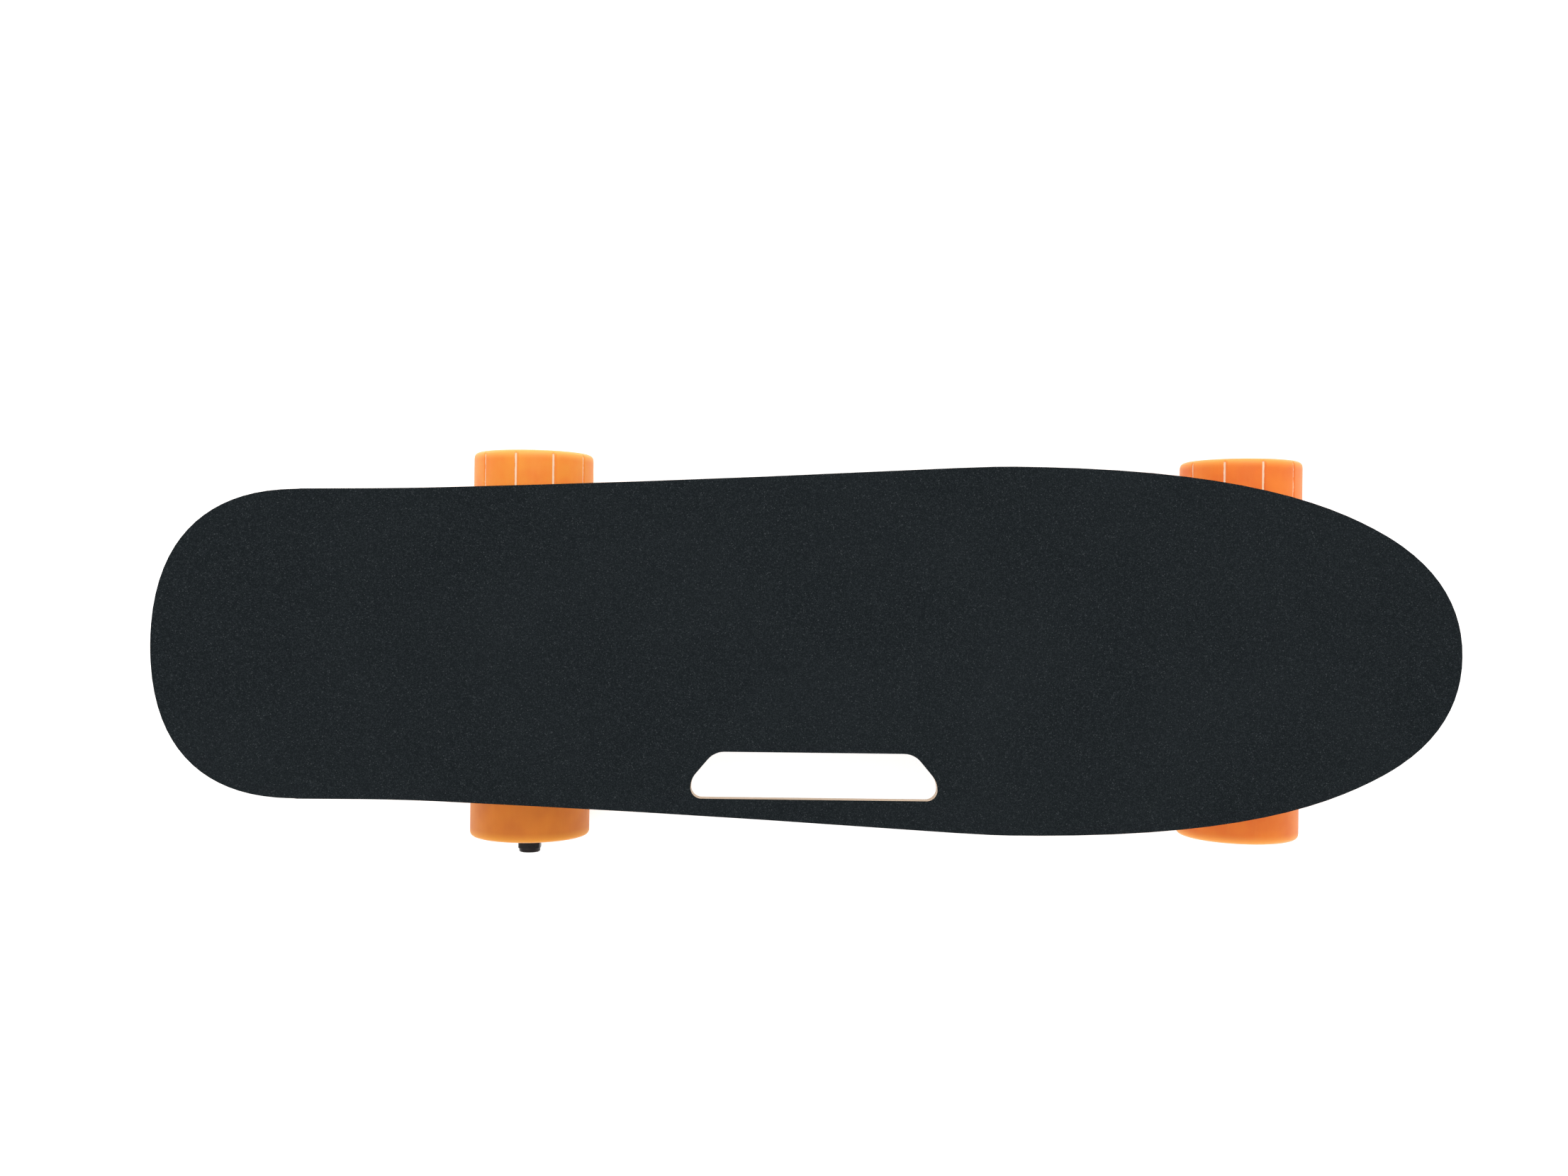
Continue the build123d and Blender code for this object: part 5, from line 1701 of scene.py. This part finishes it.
@dataclass
class Deck:
    """Maple board and its grip tape."""

    bend_from_axle: float = 38.0 * MM
    kick_radius: float = 180.0 * MM
    kick_angle: float = 14.0
    nose_radius: float = 150.0 * MM
    nose_angle: float = 8.0

    def build(self) -> None:
        """Dresses the deck."""
        kick_start = centre_of("rear_axle").x - self.bend_from_axle
        nose_start = centre_of("front_axle").x + self.bend_from_axle
        kick = Bend(kick_start, self.kick_radius, self.kick_angle, -1)
        nose = Bend(nose_start, self.nose_radius, self.nose_angle, 1)
        dress("deck_board", MaplePly("maple_plies", kick, nose))
        dress("grip_tape", GripTape("grip_tape"))


@dataclass
class FreeWheel:
    """A free-rolling wheel: tyre, core and two bearings. The groove's phase is in degrees from the top."""

    name: str
    body: Body
    side: Side
    tone: Tone
    grooves: int = 0
    groove_phase: float = 0.0
    radius: float = 35.0 * MM
    half_width: float = 22.5 * MM
    lip: float = 4.6 * MM
    face_radius: float = 27.0 * MM
    dish_radius: float = 20.0 * MM
    dish_depth: float = 7.5 * MM
    core_radius: float = 17.5 * MM
    core_half: float = 13.5 * MM
    core_gap: float = 0.02 * MM
    bearing_radius: float = 11.0 * MM
    bearing_width: float = 7.0 * MM
    bearing_recess: float = 1.5 * MM
    web_radius: float = 9.5 * MM
    groove_width: float = 1.4 * MM
    groove_depth: float = 1.2 * MM
    spokes: int = 10
    pocket_wall: float = 1.5 * MM
    pocket_rim: float = 1.4 * MM
    pocket_depth: float = 2.6 * MM
    pocket_half: float = 0.38
    pocket_flank: float = 0.05
    plain_sections: int = 160
    core_sections: int = 240
    near_sections: Sequence[float] = (
        -2.8, -2.35, -1.9, -1.45, -1.0, -0.75, -0.5, 0.0, 0.5, 0.75, 1.0, 1.3, 1.9, 2.35, 2.8,
    )
    wide_sections: int = 14
    groove_crease: float = 50.0

    def tread_angles(self) -> list[float]:
        """Places the tyre's cross-sections, close together at the grooves.

        Returns:
            Their angles, in radians.
        """
        if not self.grooves:
            return even_angles(self.plain_sections)
        step = math.tau / self.grooves
        half = self.groove_width / 2 / self.radius
        angles = []
        for i in range(self.grooves):
            middle = self.phase() + i * step
            angles += [middle + half * near for near in self.near_sections]
            angles += [middle + step * wide / self.wide_sections for wide in range(2, self.wide_sections - 1)]
        return sorted(angle % math.tau for angle in angles)

    def phase(self) -> float:
        """Angle of the first groove, from +X towards +Z."""
        return math.pi / 2 - math.radians(self.groove_phase)

    def tyre_half(self) -> list[Corner]:
        """Lays out the tyre's outer half.

        Returns:
            Its corners, from the core to the tread.
        """
        w, dish = self.half_width, self.half_width - self.dish_depth
        return [
            (self.core_radius + self.core_gap, self.core_half, 0.0),
            (self.dish_radius - 0.6 * MM, self.core_half + 0.2 * MM, 0.6 * MM),
            (self.dish_radius, dish + 0.4 * MM, 1.2 * MM),
            (self.face_radius - 1.2 * MM, w - 0.5 * MM, 2.2 * MM),
            (self.face_radius + 0.6 * MM, w - 0.05 * MM, 1.2 * MM),
            (self.radius, w, self.lip),
        ]

    def build_tyre(self) -> bpy.types.Object:
        """Makes the tyre.

        Returns:
            The tyre's object.
        """
        centre = centre_of(f"{self.name}_tyre")
        outline = rounded(mirrored(self.tyre_half()), 6)
        tyre = lathe(f"{self.name}_wheel_tyre", outline, centre, self.side, self.tread_angles())
        finish = Urethane(
            f"orange_urethane_{self.name}", self.tone, tuple(centre), self.half_width, bool(self.grooves)
        )
        if self.grooves:
            sizes = {"Count": float(self.grooves), "Phase": self.phase(), "Width": self.groove_width}
            sizes |= {"Depth": self.groove_depth, "Tread": self.radius, "Half Width": self.half_width}
            groove_tree().grow(tyre, sizes | {"Centre": tuple(centre), "Material": finish.material()})
            shade(tyre.data, self.groove_crease)
        return finished(tyre, finish, self.body, [f"{self.name}_tyre"])

    def build_core(self) -> bpy.types.Object:
        """Makes the core, with shallow pockets between its spokes.

        Returns:
            The core's object.
        """
        h = self.core_half
        seat = h - self.bearing_recess - self.bearing_width
        bore = self.bearing_radius + self.core_gap
        pocket_in, pocket_out = self.bearing_radius + self.pocket_wall, self.core_radius - self.pocket_rim
        half = [
            (self.web_radius, 0.0, 0.0),
            (self.web_radius, seat, 0.2 * MM),
            (bore, seat, 0.0),
            (bore, h, 0.35 * MM),
            (pocket_in, h, 0.25 * MM),
            (pocket_in + 0.5 * MM, h - 0.05 * MM, 0.0),
            (pocket_out - 0.5 * MM, h - 0.05 * MM, 0.0),
            (pocket_out, h, 0.25 * MM),
            (self.core_radius, h, 0.4 * MM),
        ]
        corners = half + [(r, -y, f) for r, y, f in half[::-1]]

        def pockets(angle: float, r: float, y: float) -> Point:
            """Sinks the face between two spokes.

            Args:
                angle: of the point.
                r: its radius.
                y: its distance along the axis.

            Returns:
                The new radius and distance.
            """
            if not pocket_in + 0.3 * MM < r < pocket_out - 0.3 * MM or abs(y) < h - 0.2 * MM:
                return r, y
            cell = abs((angle * self.spokes / math.tau) % 1.0 - 0.5)
            sink = max(0.0, min(1.0, (self.pocket_half - cell) / self.pocket_flank))
            return r, y - math.copysign(self.pocket_depth * sink, y)

        name, centre = f"{self.name}_wheel_core", centre_of(f"{self.name}_core")
        core = lathe(name, rounded(corners, 3), centre, self.side, even_angles(self.core_sections), pockets)
        return finished(core, NYLON, self.body, [f"{self.name}_core"])

    def build(self) -> None:
        """Makes the wheel."""
        self.build_tyre()
        self.build_core()
        races = f"{self.name}_outer_races"
        dress(races, Bearing(f"sealed_bearing_{self.name}", tuple(centre_of(races))))


@dataclass
class HubMotor:
    """The hub motor wheel: tyre sleeve, rotor, covers, screws and bearings, and the stator inside."""

    tone: Tone
    body: Body = Body.MOTOR
    radius: float = 35.0 * MM
    lip: float = 3.4 * MM
    bore: float = 25.52 * MM
    cover_radius: float = 29.0 * MM
    cover_depth: float = 4.0 * MM
    screw_count: int = 6
    screw_proud: float = 0.02 * MM
    sections: int = 160
    seal: Range = (10.0 * MM, 11.2 * MM)

    def build_tyre(self) -> bpy.types.Object:
        """Makes the tyre sleeve.

        Returns:
            The tyre's object.
        """
        low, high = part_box("motor_tyre")
        centre = (low + high) / 2
        w = (high.y - low.y) / 2
        recess = self.cover_radius + 0.05 * MM
        half = [
            (self.bore, w - self.cover_depth, 0.2 * MM),
            (recess, w - self.cover_depth, 0.2 * MM),
            (recess, w, 0.7 * MM),
            (self.radius, w, self.lip),
        ]
        outline = rounded(mirrored(half), 6)
        tyre = lathe("motor_wheel_tyre", outline, centre, Side.RIGHT, even_angles(self.sections))
        finish = Urethane("orange_urethane_motor", self.tone, tuple(centre), w)
        return finished(tyre, finish, self.body, ["motor_tyre"])

    def build_screws(self, ring: GeometryTree) -> bpy.types.Object:
        """Makes the countersunk cover screws with their hex sockets.

        Args:
            ring: the tree that sets parts round a circle.

        Returns:
            The screws' object.
        """
        low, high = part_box("motor_cover_screws")
        centre = (low + high) / 2
        reach = (high.y - low.y) / 2
        part = COVER_SCREW.part("cover_screw")
        both = bmesh.new()
        for side in Side:
            holder = mesh_object("ring", bpy.data.meshes.new("ring"))
            circle = (high.x - low.x) / 2 - COVER_SCREW.head
            values = {"Part": part, "Count": self.screw_count, "Radius": circle}
            ring.grow(holder, values | {"Material": ZINC.material()})
            seat = Matrix.Translation(centre + Vector((0, side.value * (reach - self.screw_proud), 0)))
            holder.data.transform(seat @ Matrix.Rotation(-side.value * math.pi / 2, 4, "X"))
            both.from_mesh(holder.data)
            bpy.data.objects.remove(holder)
        bpy.data.objects.remove(part)
        mesh = mesh_from(both, "cover_screws")
        shade(mesh)
        screws = mesh_object("cover_screws", mesh)
        return finished(screws, ZINC, self.body, ["motor_cover_screws"])

    def build(self, ring: GeometryTree) -> None:
        """Makes the wheel and dresses its inner pieces.

        Args:
            ring: the tree that sets parts round a circle.
        """
        self.build_tyre()
        self.build_screws(ring)
        centre = tuple(centre_of("motor_covers"))
        dark, worn = (0.040, 0.040, 0.043), (0.026, 0.026, 0.028)
        finishes = {
            "motor_covers": TurnedMetal("black_anodised_covers", centre, dark, worn, 0.30, 2200.0),
            "motor_rotor": PaintedCasting("black_rotor_coat"),
            "motor_magnets": PlatedSteel("nickel_magnets", (0.60, 0.58, 0.54), (0.45, 0.43, 0.40), 0.2),
            "motor_stator": Layered("varnished_laminations"),
            "motor_windings": Layered(
                "enamelled_copper", (0.62, 0.24, 0.09), (0.16, 0.05, 0.02), 0.7 * MM, 0.85, 0.25
            ),
            "motor_outer_races": Bearing("motor_bearing", centre, *self.seal),
            "motor_shaft": TurnedMetal("motor_shaft_steel", centre, rings_per_metre=1600.0),
        }
        for node, finish in finishes.items():
            dress(node, finish)


@dataclass
class Kingpin:
    """Place and lean of one truck's kingpin. Along it, zero is the middle of the hanger's ring."""

    axle: Vector
    outwards: int
    back: float = 23.0 * MM
    up: float = 2.0 * MM
    lean: float = 15.0

    def direction(self) -> Vector:
        """Towards the deck."""
        angle = math.radians(self.lean)
        return Vector((-self.outwards * math.sin(angle), 0.0, math.cos(angle)))

    def at(self, height: float) -> Vector:
        """Point on the kingpin."""
        ring = Vector((self.axle.x - self.outwards * self.back, 0.0, self.axle.z + self.up))
        return ring + self.direction() * height

    def upright(self) -> Matrix:
        """Stands a piece turned about Y on the ring's middle."""
        lean = Vector((0.0, 1.0, 0.0)).rotation_difference(self.direction())
        return Matrix.Translation(self.at(0.0)) @ lean.to_matrix().to_4x4()


@dataclass
class Truck:
    """One truck: hanger, bushings, axle and its nuts."""

    name: str
    body: Body
    outwards: int
    passes: int = 5
    bushing_radius: float = 12.0 * MM
    bushing_bore: float = 5.0 * MM
    web: float = 3.0 * MM
    boardside_height: float = 12.0 * MM
    roadside_height: float = 10.0 * MM
    roadside_end_radius: float = 10.0 * MM
    bore_steps: int = 8
    bushing_sections: int = 72
    nut: LockNut = LockNut(12.7 * MM, 8.9 * MM, 4.0 * MM, -0.2 * MM, 1.8 * MM, 0.98)
    nut_turn: float = 30.0

    def kingpin(self) -> Kingpin:
        """The kingpin's place."""
        return Kingpin(centre_of(f"{self.name}_axle"), self.outwards)

    def build_bushing(self, place: str, corners: Sequence[Corner]) -> bpy.types.Object:
        """Makes one bushing, which sits between the board and the hanger.

        Args:
            place: boardside or roadside.
            corners: radius, height along the kingpin and fillet, from the board's end to the ring's.

        Returns:
            The bushing's object.
        """
        kingpin = self.kingpin()
        board_end, ring_end = corners[0][1], corners[-1][1]
        drop = (board_end - ring_end) / self.bore_steps
        bore = [(self.bushing_bore, ring_end + drop * i, 0.0) for i in range(self.bore_steps)]
        outline = rounded([*corners, *bore, (self.bushing_bore, board_end, 0.0)], 5)
        name = f"{self.name}_{place}_bushing"
        bushing = lathe(f"{name}_cast", outline, Vector(), Side.LEFT, even_angles(self.bushing_sections))
        bushing.data.transform(kingpin.upright())
        span = kingpin.at(board_end), kingpin.at(ring_end)
        return bending(bushing, BUSHING, (Body.BOARD, self.body), span, "bushing_urethane", name)

    def build_bushings(self) -> None:
        """Makes the barrel on the board's side and the cone on the road's side."""
        r, web = self.bushing_radius, self.web
        top = web + self.boardside_height
        barrel = [
            (r - 0.6 * MM, top, 0.8 * MM),
            (r, top - 1.6 * MM, 2.0 * MM),
            (r - 0.35 * MM, (top + web) / 2, 4.0 * MM),
            (r, web + 1.6 * MM, 2.0 * MM),
            (r - 0.6 * MM, web, 0.8 * MM),
        ]
        end = -web - self.roadside_height
        cone = [
            (self.roadside_end_radius - 0.2 * MM, end, 0.8 * MM),
            (self.roadside_end_radius, end + 1.4 * MM, 1.5 * MM),
            ((r + self.roadside_end_radius) / 2, (end - web) / 2, 3.0 * MM),
            (r, -web - 1.8 * MM, 1.5 * MM),
            (r - 0.3 * MM, -web, 0.8 * MM),
        ]
        self.build_bushing("boardside", barrel)
        self.build_bushing("roadside", cone)

    def build_nuts(self, spots: GeometryTree) -> bpy.types.Object:
        """Makes the two axle nuts.

        Args:
            spots: the tree that puts a part on each point.

        Returns:
            The nuts' object.
        """
        places = []
        for centre, size in solids_of(f"{self.name}_axle_nuts"):
            side = math.copysign(1.0, centre.y)
            seat = Vector((centre.x, centre.y - side * size.y / 2, centre.z))
            wrench = Matrix.Rotation(math.radians(self.nut_turn), 4, "Y")
            places.append(Spot(seat, wrench @ Matrix.Rotation(-side * math.pi / 2, 4, "X")))
        part = self.nut.part("axle_nut")
        nuts = repeated(f"{self.name}_axle_lock_nuts", part, places, spots, BLACK_NUT)
        return finished(nuts, BLACK_NUT, self.body, [f"{self.name}_axle_nuts"])

    def build(self, spots: GeometryTree) -> None:
        """Makes the cast hanger, bushings and nuts, and dresses the rest.

        Args:
            spots: the tree that puts a part on each point.
        """
        hanger = cast_copy(f"{self.name}_hanger", f"{self.name}_hanger_casting", self.passes)
        finished(hanger, CASTING, self.body, [f"{self.name}_hanger"])
        self.build_bushings()
        self.build_nuts(spots)
        centre = tuple(centre_of(f"{self.name}_axle"))
        axle = TurnedMetal(f"{self.name}_axle_steel", centre, rings_per_metre=2400.0)
        dress(f"{self.name}_axle", axle)
        dress(f"{self.name}_axle_spacers", ZINC)
        race = TurnedMetal(f"{self.name}_ground_race", centre, (0.66, 0.66, 0.67), roughness=0.18)
        dress(f"{self.name}_inner_races", race)


@dataclass
class TruckMounts:
    """What both trucks hang on: plates, pads, bolts, cups and kingpins."""

    passes: int = 4
    bolt_nut: LockNut = LockNut(9.5 * MM, 5.0 * MM, 2.4 * MM, 1.5 * MM, 1.5 * MM)
    kingpin_nut: LockNut = LockNut(14.3 * MM, 7.5 * MM, 4.75 * MM, 2.0 * MM)
    kingpin_nut_seat: float = -14.5 * MM
    wrench_stop: float = 8.0

    def build_bolt_nuts(self, spots: GeometryTree) -> bpy.types.Object:
        """Makes the eight nuts under the baseplates, each left where its wrench stopped.

        Args:
            spots: the tree that puts a part on each point.

        Returns:
            The nuts' object.
        """
        places = []
        for index, (centre, size) in enumerate(solids_of("truck_bolt_nuts")):
            seat = centre + Vector((0.0, 0.0, size.z / 2))
            wrench = Matrix.Rotation(math.radians(self.wrench_stop * (index % 3 - 1)), 4, "Z")
            places.append(Spot(seat, wrench @ Matrix.Rotation(math.pi, 4, "X")))
        part = self.bolt_nut.part("bolt_nut")
        nuts = repeated("baseplate_lock_nuts", part, places, spots, ZINC_NUT)
        return finished(nuts, ZINC_NUT, Body.BOARD, ["truck_bolt_nuts"])

    def build_kingpin_nuts(self, kingpins: Sequence[Kingpin], spots: GeometryTree) -> bpy.types.Object:
        """Makes the nuts that clamp the bushings.

        Args:
            kingpins: where the two kingpins stand.
            spots: the tree that puts a part on each point.

        Returns:
            The nuts' object.
        """
        places = []
        for kingpin in kingpins:
            down = Matrix.Rotation(kingpin.outwards * math.radians(180.0 - kingpin.lean), 4, "Y")
            quarter = Matrix.Rotation(math.pi / 2, 4, "Z")
            places.append(Spot(kingpin.at(self.kingpin_nut_seat), down @ quarter))
        part = self.kingpin_nut.part("kingpin_nut")
        nuts = repeated("kingpin_lock_nuts", part, places, spots, ZINC_NUT)
        return finished(nuts, ZINC_NUT, Body.BOARD, ["kingpin_nuts"])

    def build(self, kingpins: Sequence[Kingpin], spots: GeometryTree) -> None:
        """Makes the cast plates and nuts, and dresses the rest.

        Args:
            kingpins: where the two kingpins stand.
            spots: the tree that puts a part on each point.
        """
        self.build_bolt_nuts(spots)
        self.build_kingpin_nuts(kingpins, spots)
        plates = cast_copy("truck_baseplates", "baseplate_castings", self.passes)
        finished(plates, CASTING, Body.BOARD, ["truck_baseplates"])
        dress("truck_bolts", BLACK_OXIDE)
        for node in ("riser_pads", "pivot_cups"):
            dress(node, HARD_RUBBER)
        for node in ("kingpins", "bushing_washers"):
            dress(node, ZINC)


@dataclass
class BatteryBox:
    """The box under the deck, its fasteners, ports and contents."""

    wrench_step: float = 21.0

    def build_screws(self, spots: GeometryTree) -> bpy.types.Object:
        """Makes the flange screws' domed heads.

        Args:
            spots: the tree that puts a part on each point.

        Returns:
            The screws' object.
        """
        places = []
        for index, (centre, size) in enumerate(solids_of("enclosure_screws")):
            seat = centre + Vector((0.0, 0.0, BOX_SCREW.rise - size.z / 2))
            wrench = Matrix.Rotation(math.radians(self.wrench_step * index), 4, "Z")
            places.append(Spot(seat, wrench @ Matrix.Rotation(math.pi, 4, "X")))
        screws = repeated("box_screws", BOX_SCREW.part("box_screw"), places, spots, BLACK_OXIDE)
        return finished(screws, BLACK_OXIDE, Body.BOARD, ["enclosure_screws"])

    def build(self, spots: GeometryTree) -> None:
        """Makes and dresses the box.

        Args:
            spots: the tree that puts a part on each point.
        """
        self.build_screws(spots)
        finishes = {
            "enclosure_shell": BOX_PLASTIC,
            "enclosure_gasket": Foam("gasket_foam"),
            "enclosure_inserts": PlatedSteel("insert_brass", (0.72, 0.50, 0.20), (0.50, 0.33, 0.12), 0.3),
            "battery_cells": ShrinkWrap("cell_wrap"),
            "cell_holders": NYLON,
            "cell_links": PlatedSteel("nickel_strip", (0.62, 0.60, 0.55), (0.48, 0.46, 0.42), 0.25),
            "battery_management_board": CircuitBoard("battery_board"),
            "controller_board": CircuitBoard("controller_board_mask", (0.01, 0.05, 0.12)),
            "controller_components": Moulded("component_epoxy", roughness=0.3),
            "controller_heatsink": PlatedSteel(
                "heatsink_anodised", (0.05, 0.05, 0.055), (0.03, 0.03, 0.03)
            ),
            "charge_socket": Moulded("socket_nylon", roughness=0.35),
            "power_switch": Moulded("switch_body", roughness=0.4),
            "power_button": Moulded(
                "gloss_button", (0.016, 0.016, 0.017), (0.024, 0.024, 0.026), 0.16, 3000.0, 0.01 * MM, 0.6
            ),
            "battery_gauge_lens": MilkyLens("charge_light_lens"),
            "charge_port_cap": HARD_RUBBER,
            "cable_gland": NYLON,
        }
        for node, finish in finishes.items():
            dress(node, finish)


@dataclass
class MotorCable:
    """The lead from the motor's flange into the box."""

    radius: float = 3.0 * MM
    from_axle: float = 12.5 * MM
    lead: float = 6.0 * MM
    bend_radius: float = 30.0 * MM
    bend_corners: int = 4
    straight_corners: int = 2
    before_gland: float = 8.0 * MM
    steps_between: int = 10
    facets: int = 6

    def route(self) -> list[Vector]:
        """Points of the lead: in from the flange, a quarter turn forward while it climbs, then the gland.

        Returns:
            The control points, from the motor to the inside of the box.
        """
        low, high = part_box("motor_cable")
        gland_low, gland_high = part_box("cable_gland")
        axle = centre_of("rear_axle")
        start = Vector((axle.x + self.from_axle, low.y, axle.z))
        gland = Vector((gland_low.x, high.y - self.radius, (gland_low.z + gland_high.z) / 2))
        step = math.pi / 2 / self.bend_corners
        centre = start + Vector((self.bend_radius, self.lead, 0.0))
        reach = self.bend_radius / math.cos(step / 2)
        plan = []
        for i in range(self.bend_corners):
            angle = (i + 0.5) * step
            corner = centre + Vector((-math.cos(angle), math.sin(angle), 0.0)) * reach
            plan.append((i * step * self.bend_radius, corner))
        bend_end = start + Vector((self.bend_radius, self.lead + self.bend_radius, 0.0))
        straight = gland.x - self.before_gland - bend_end.x
        bend_length = plan[-1][0] + step / 2 * self.bend_radius
        for i in range(1, self.straight_corners + 1):
            along = straight * i / (self.straight_corners + 1)
            plan.append((bend_length + along, bend_end + Vector((along, 0.0, 0.0))))
        points = [start]
        for along, corner in plan:
            climb = (1 - math.cos(math.pi * along / (bend_length + straight))) / 2
            points.append(corner + Vector((0.0, 0.0, climb * (gland.z - start.z))))
        return [*points, gland - Vector((self.before_gland, 0.0, 0.0)), Vector((high.x, gland.y, gland.z))]

    def build(self) -> bpy.types.Object:
        """Makes the cable.

        Returns:
            The cable's object.
        """
        points = self.route()
        curve = bpy.data.curves.new("motor_lead_line", "CURVE")
        curve.dimensions = "3D"
        curve.resolution_u = self.steps_between
        curve.bevel_depth = self.radius
        curve.bevel_resolution = self.facets
        curve.use_fill_caps = True
        spline = curve.splines.new("NURBS")
        spline.points.add(len(points) - 1)
        for point, place in zip(spline.points, points):
            point.co = (*place, 1.0)
        spline.order_u = 3
        spline.use_endpoint_u = True
        line = bpy.data.objects.new("motor_lead_line", curve)
        bpy.context.scene.collection.objects.link(line)
        mesh = evaluated_mesh(line)
        bpy.data.objects.remove(line)
        shade(mesh)
        lead = mesh_object("motor_lead", mesh)
        black, grey = (0.014, 0.014, 0.014), (0.024, 0.024, 0.024)
        jacket = Moulded("silicone_jacket", black, grey, 0.5, 900.0, 0.02 * MM)
        ends = (Body.BOARD, Body.REAR_HANGER)
        return bending(lead, jacket, ends, (points[-2], points[0]), "cable_rubber", "motor_cable")


@dataclass
class Studio:
    """Pale floor, soft light and the camera. A light has a name, a place, a size and a power."""

    camera_x: float = -17.8 * MM
    camera_y: float = 33.2 * MM
    height: float = 800.0 * MM
    focal: float = 33.4
    sensor: float = 36.0
    roll: float = 0.69
    air: float = 1.0
    floor_half: float = 30.0
    lights: tuple[tuple[str, Place, float, float], ...] = (
        ("key_panel", (0.1, 1.5, 1.6), 1.6, 17.0),
        ("fill_panel", (-0.6, -1.7, 1.3), 1.8, 3.5),
    )

    def build_floor(self) -> None:
        """Lays the floor under the wheels."""
        z, s = CAD_BOX[0][2], self.floor_half
        mesh = bpy.data.meshes.new("studio_floor")
        mesh.from_pydata([(-s, -s, z), (s, -s, z), (s, s, z), (-s, s, z)], [], [(0, 1, 2, 3)])
        floor = mesh_object("studio_floor", mesh)
        floor.data.materials.append(StudioFloor("studio_paper").material())

    def build_lights(self) -> None:
        """Hangs the soft panels and sets the surroundings."""
        for name, place, size, power in self.lights:
            data = bpy.data.lights.new(name, "AREA")
            data.shape = "SQUARE"
            data.size = size
            data.energy = power
            lamp = bpy.data.objects.new(name, data)
            bpy.context.scene.collection.objects.link(lamp)
            lamp.location = place
            lamp.rotation_euler = (-Vector(place)).to_track_quat("-Z", "Y").to_euler()
        world = bpy.data.worlds.new("studio_air")
        world.use_nodes = True
        background = world.node_tree.nodes["Background"]
        background.inputs["Color"].default_value = (1.0, 1.0, 1.0, 1.0)
        background.inputs["Strength"].default_value = self.air
        bpy.context.scene.world = world

    def build_camera(self) -> None:
        """Hangs the camera over the deck, looking straight down."""
        data = bpy.data.cameras.new("overhead")
        data.lens = self.focal
        data.sensor_width = self.sensor
        camera = bpy.data.objects.new("overhead", data)
        bpy.context.scene.collection.objects.link(camera)
        camera.location = (self.camera_x, self.camera_y, self.height)
        camera.rotation_euler = (0.0, 0.0, math.radians(self.roll))
        bpy.context.scene.camera = camera

    def build(self) -> None:
        """Sets up the studio."""
        bpy.context.scene.view_settings.view_transform = "Standard"
        self.build_floor()
        self.build_lights()
        self.build_camera()


def main() -> None:
    """Builds the board's looks, sub-assembly by sub-assembly."""
    logging.basicConfig(level=logging.INFO, format="%(message)s")
    spots, ring = spots_tree(), ring_tree()
    Deck().build()
    FreeWheel("front_left", Body.FRONT_LEFT, Side.LEFT, RED, grooves=10, groove_phase=4.0).build()
    FreeWheel("front_right", Body.FRONT_RIGHT, Side.RIGHT, RED).build()
    FreeWheel("rear_left", Body.REAR_LEFT, Side.LEFT, WARM, grooves=10, groove_phase=28.0).build()
    HubMotor(GOLDEN).build(ring)
    trucks = [Truck("front", Body.FRONT_HANGER, 1), Truck("rear", Body.REAR_HANGER, -1)]
    for truck in trucks:
        truck.build(spots)
    TruckMounts().build([truck.kingpin() for truck in trucks], spots)
    BatteryBox().build(spots)
    MotorCable().build()
    Studio().build()


if __name__ == "__main__":
    main()
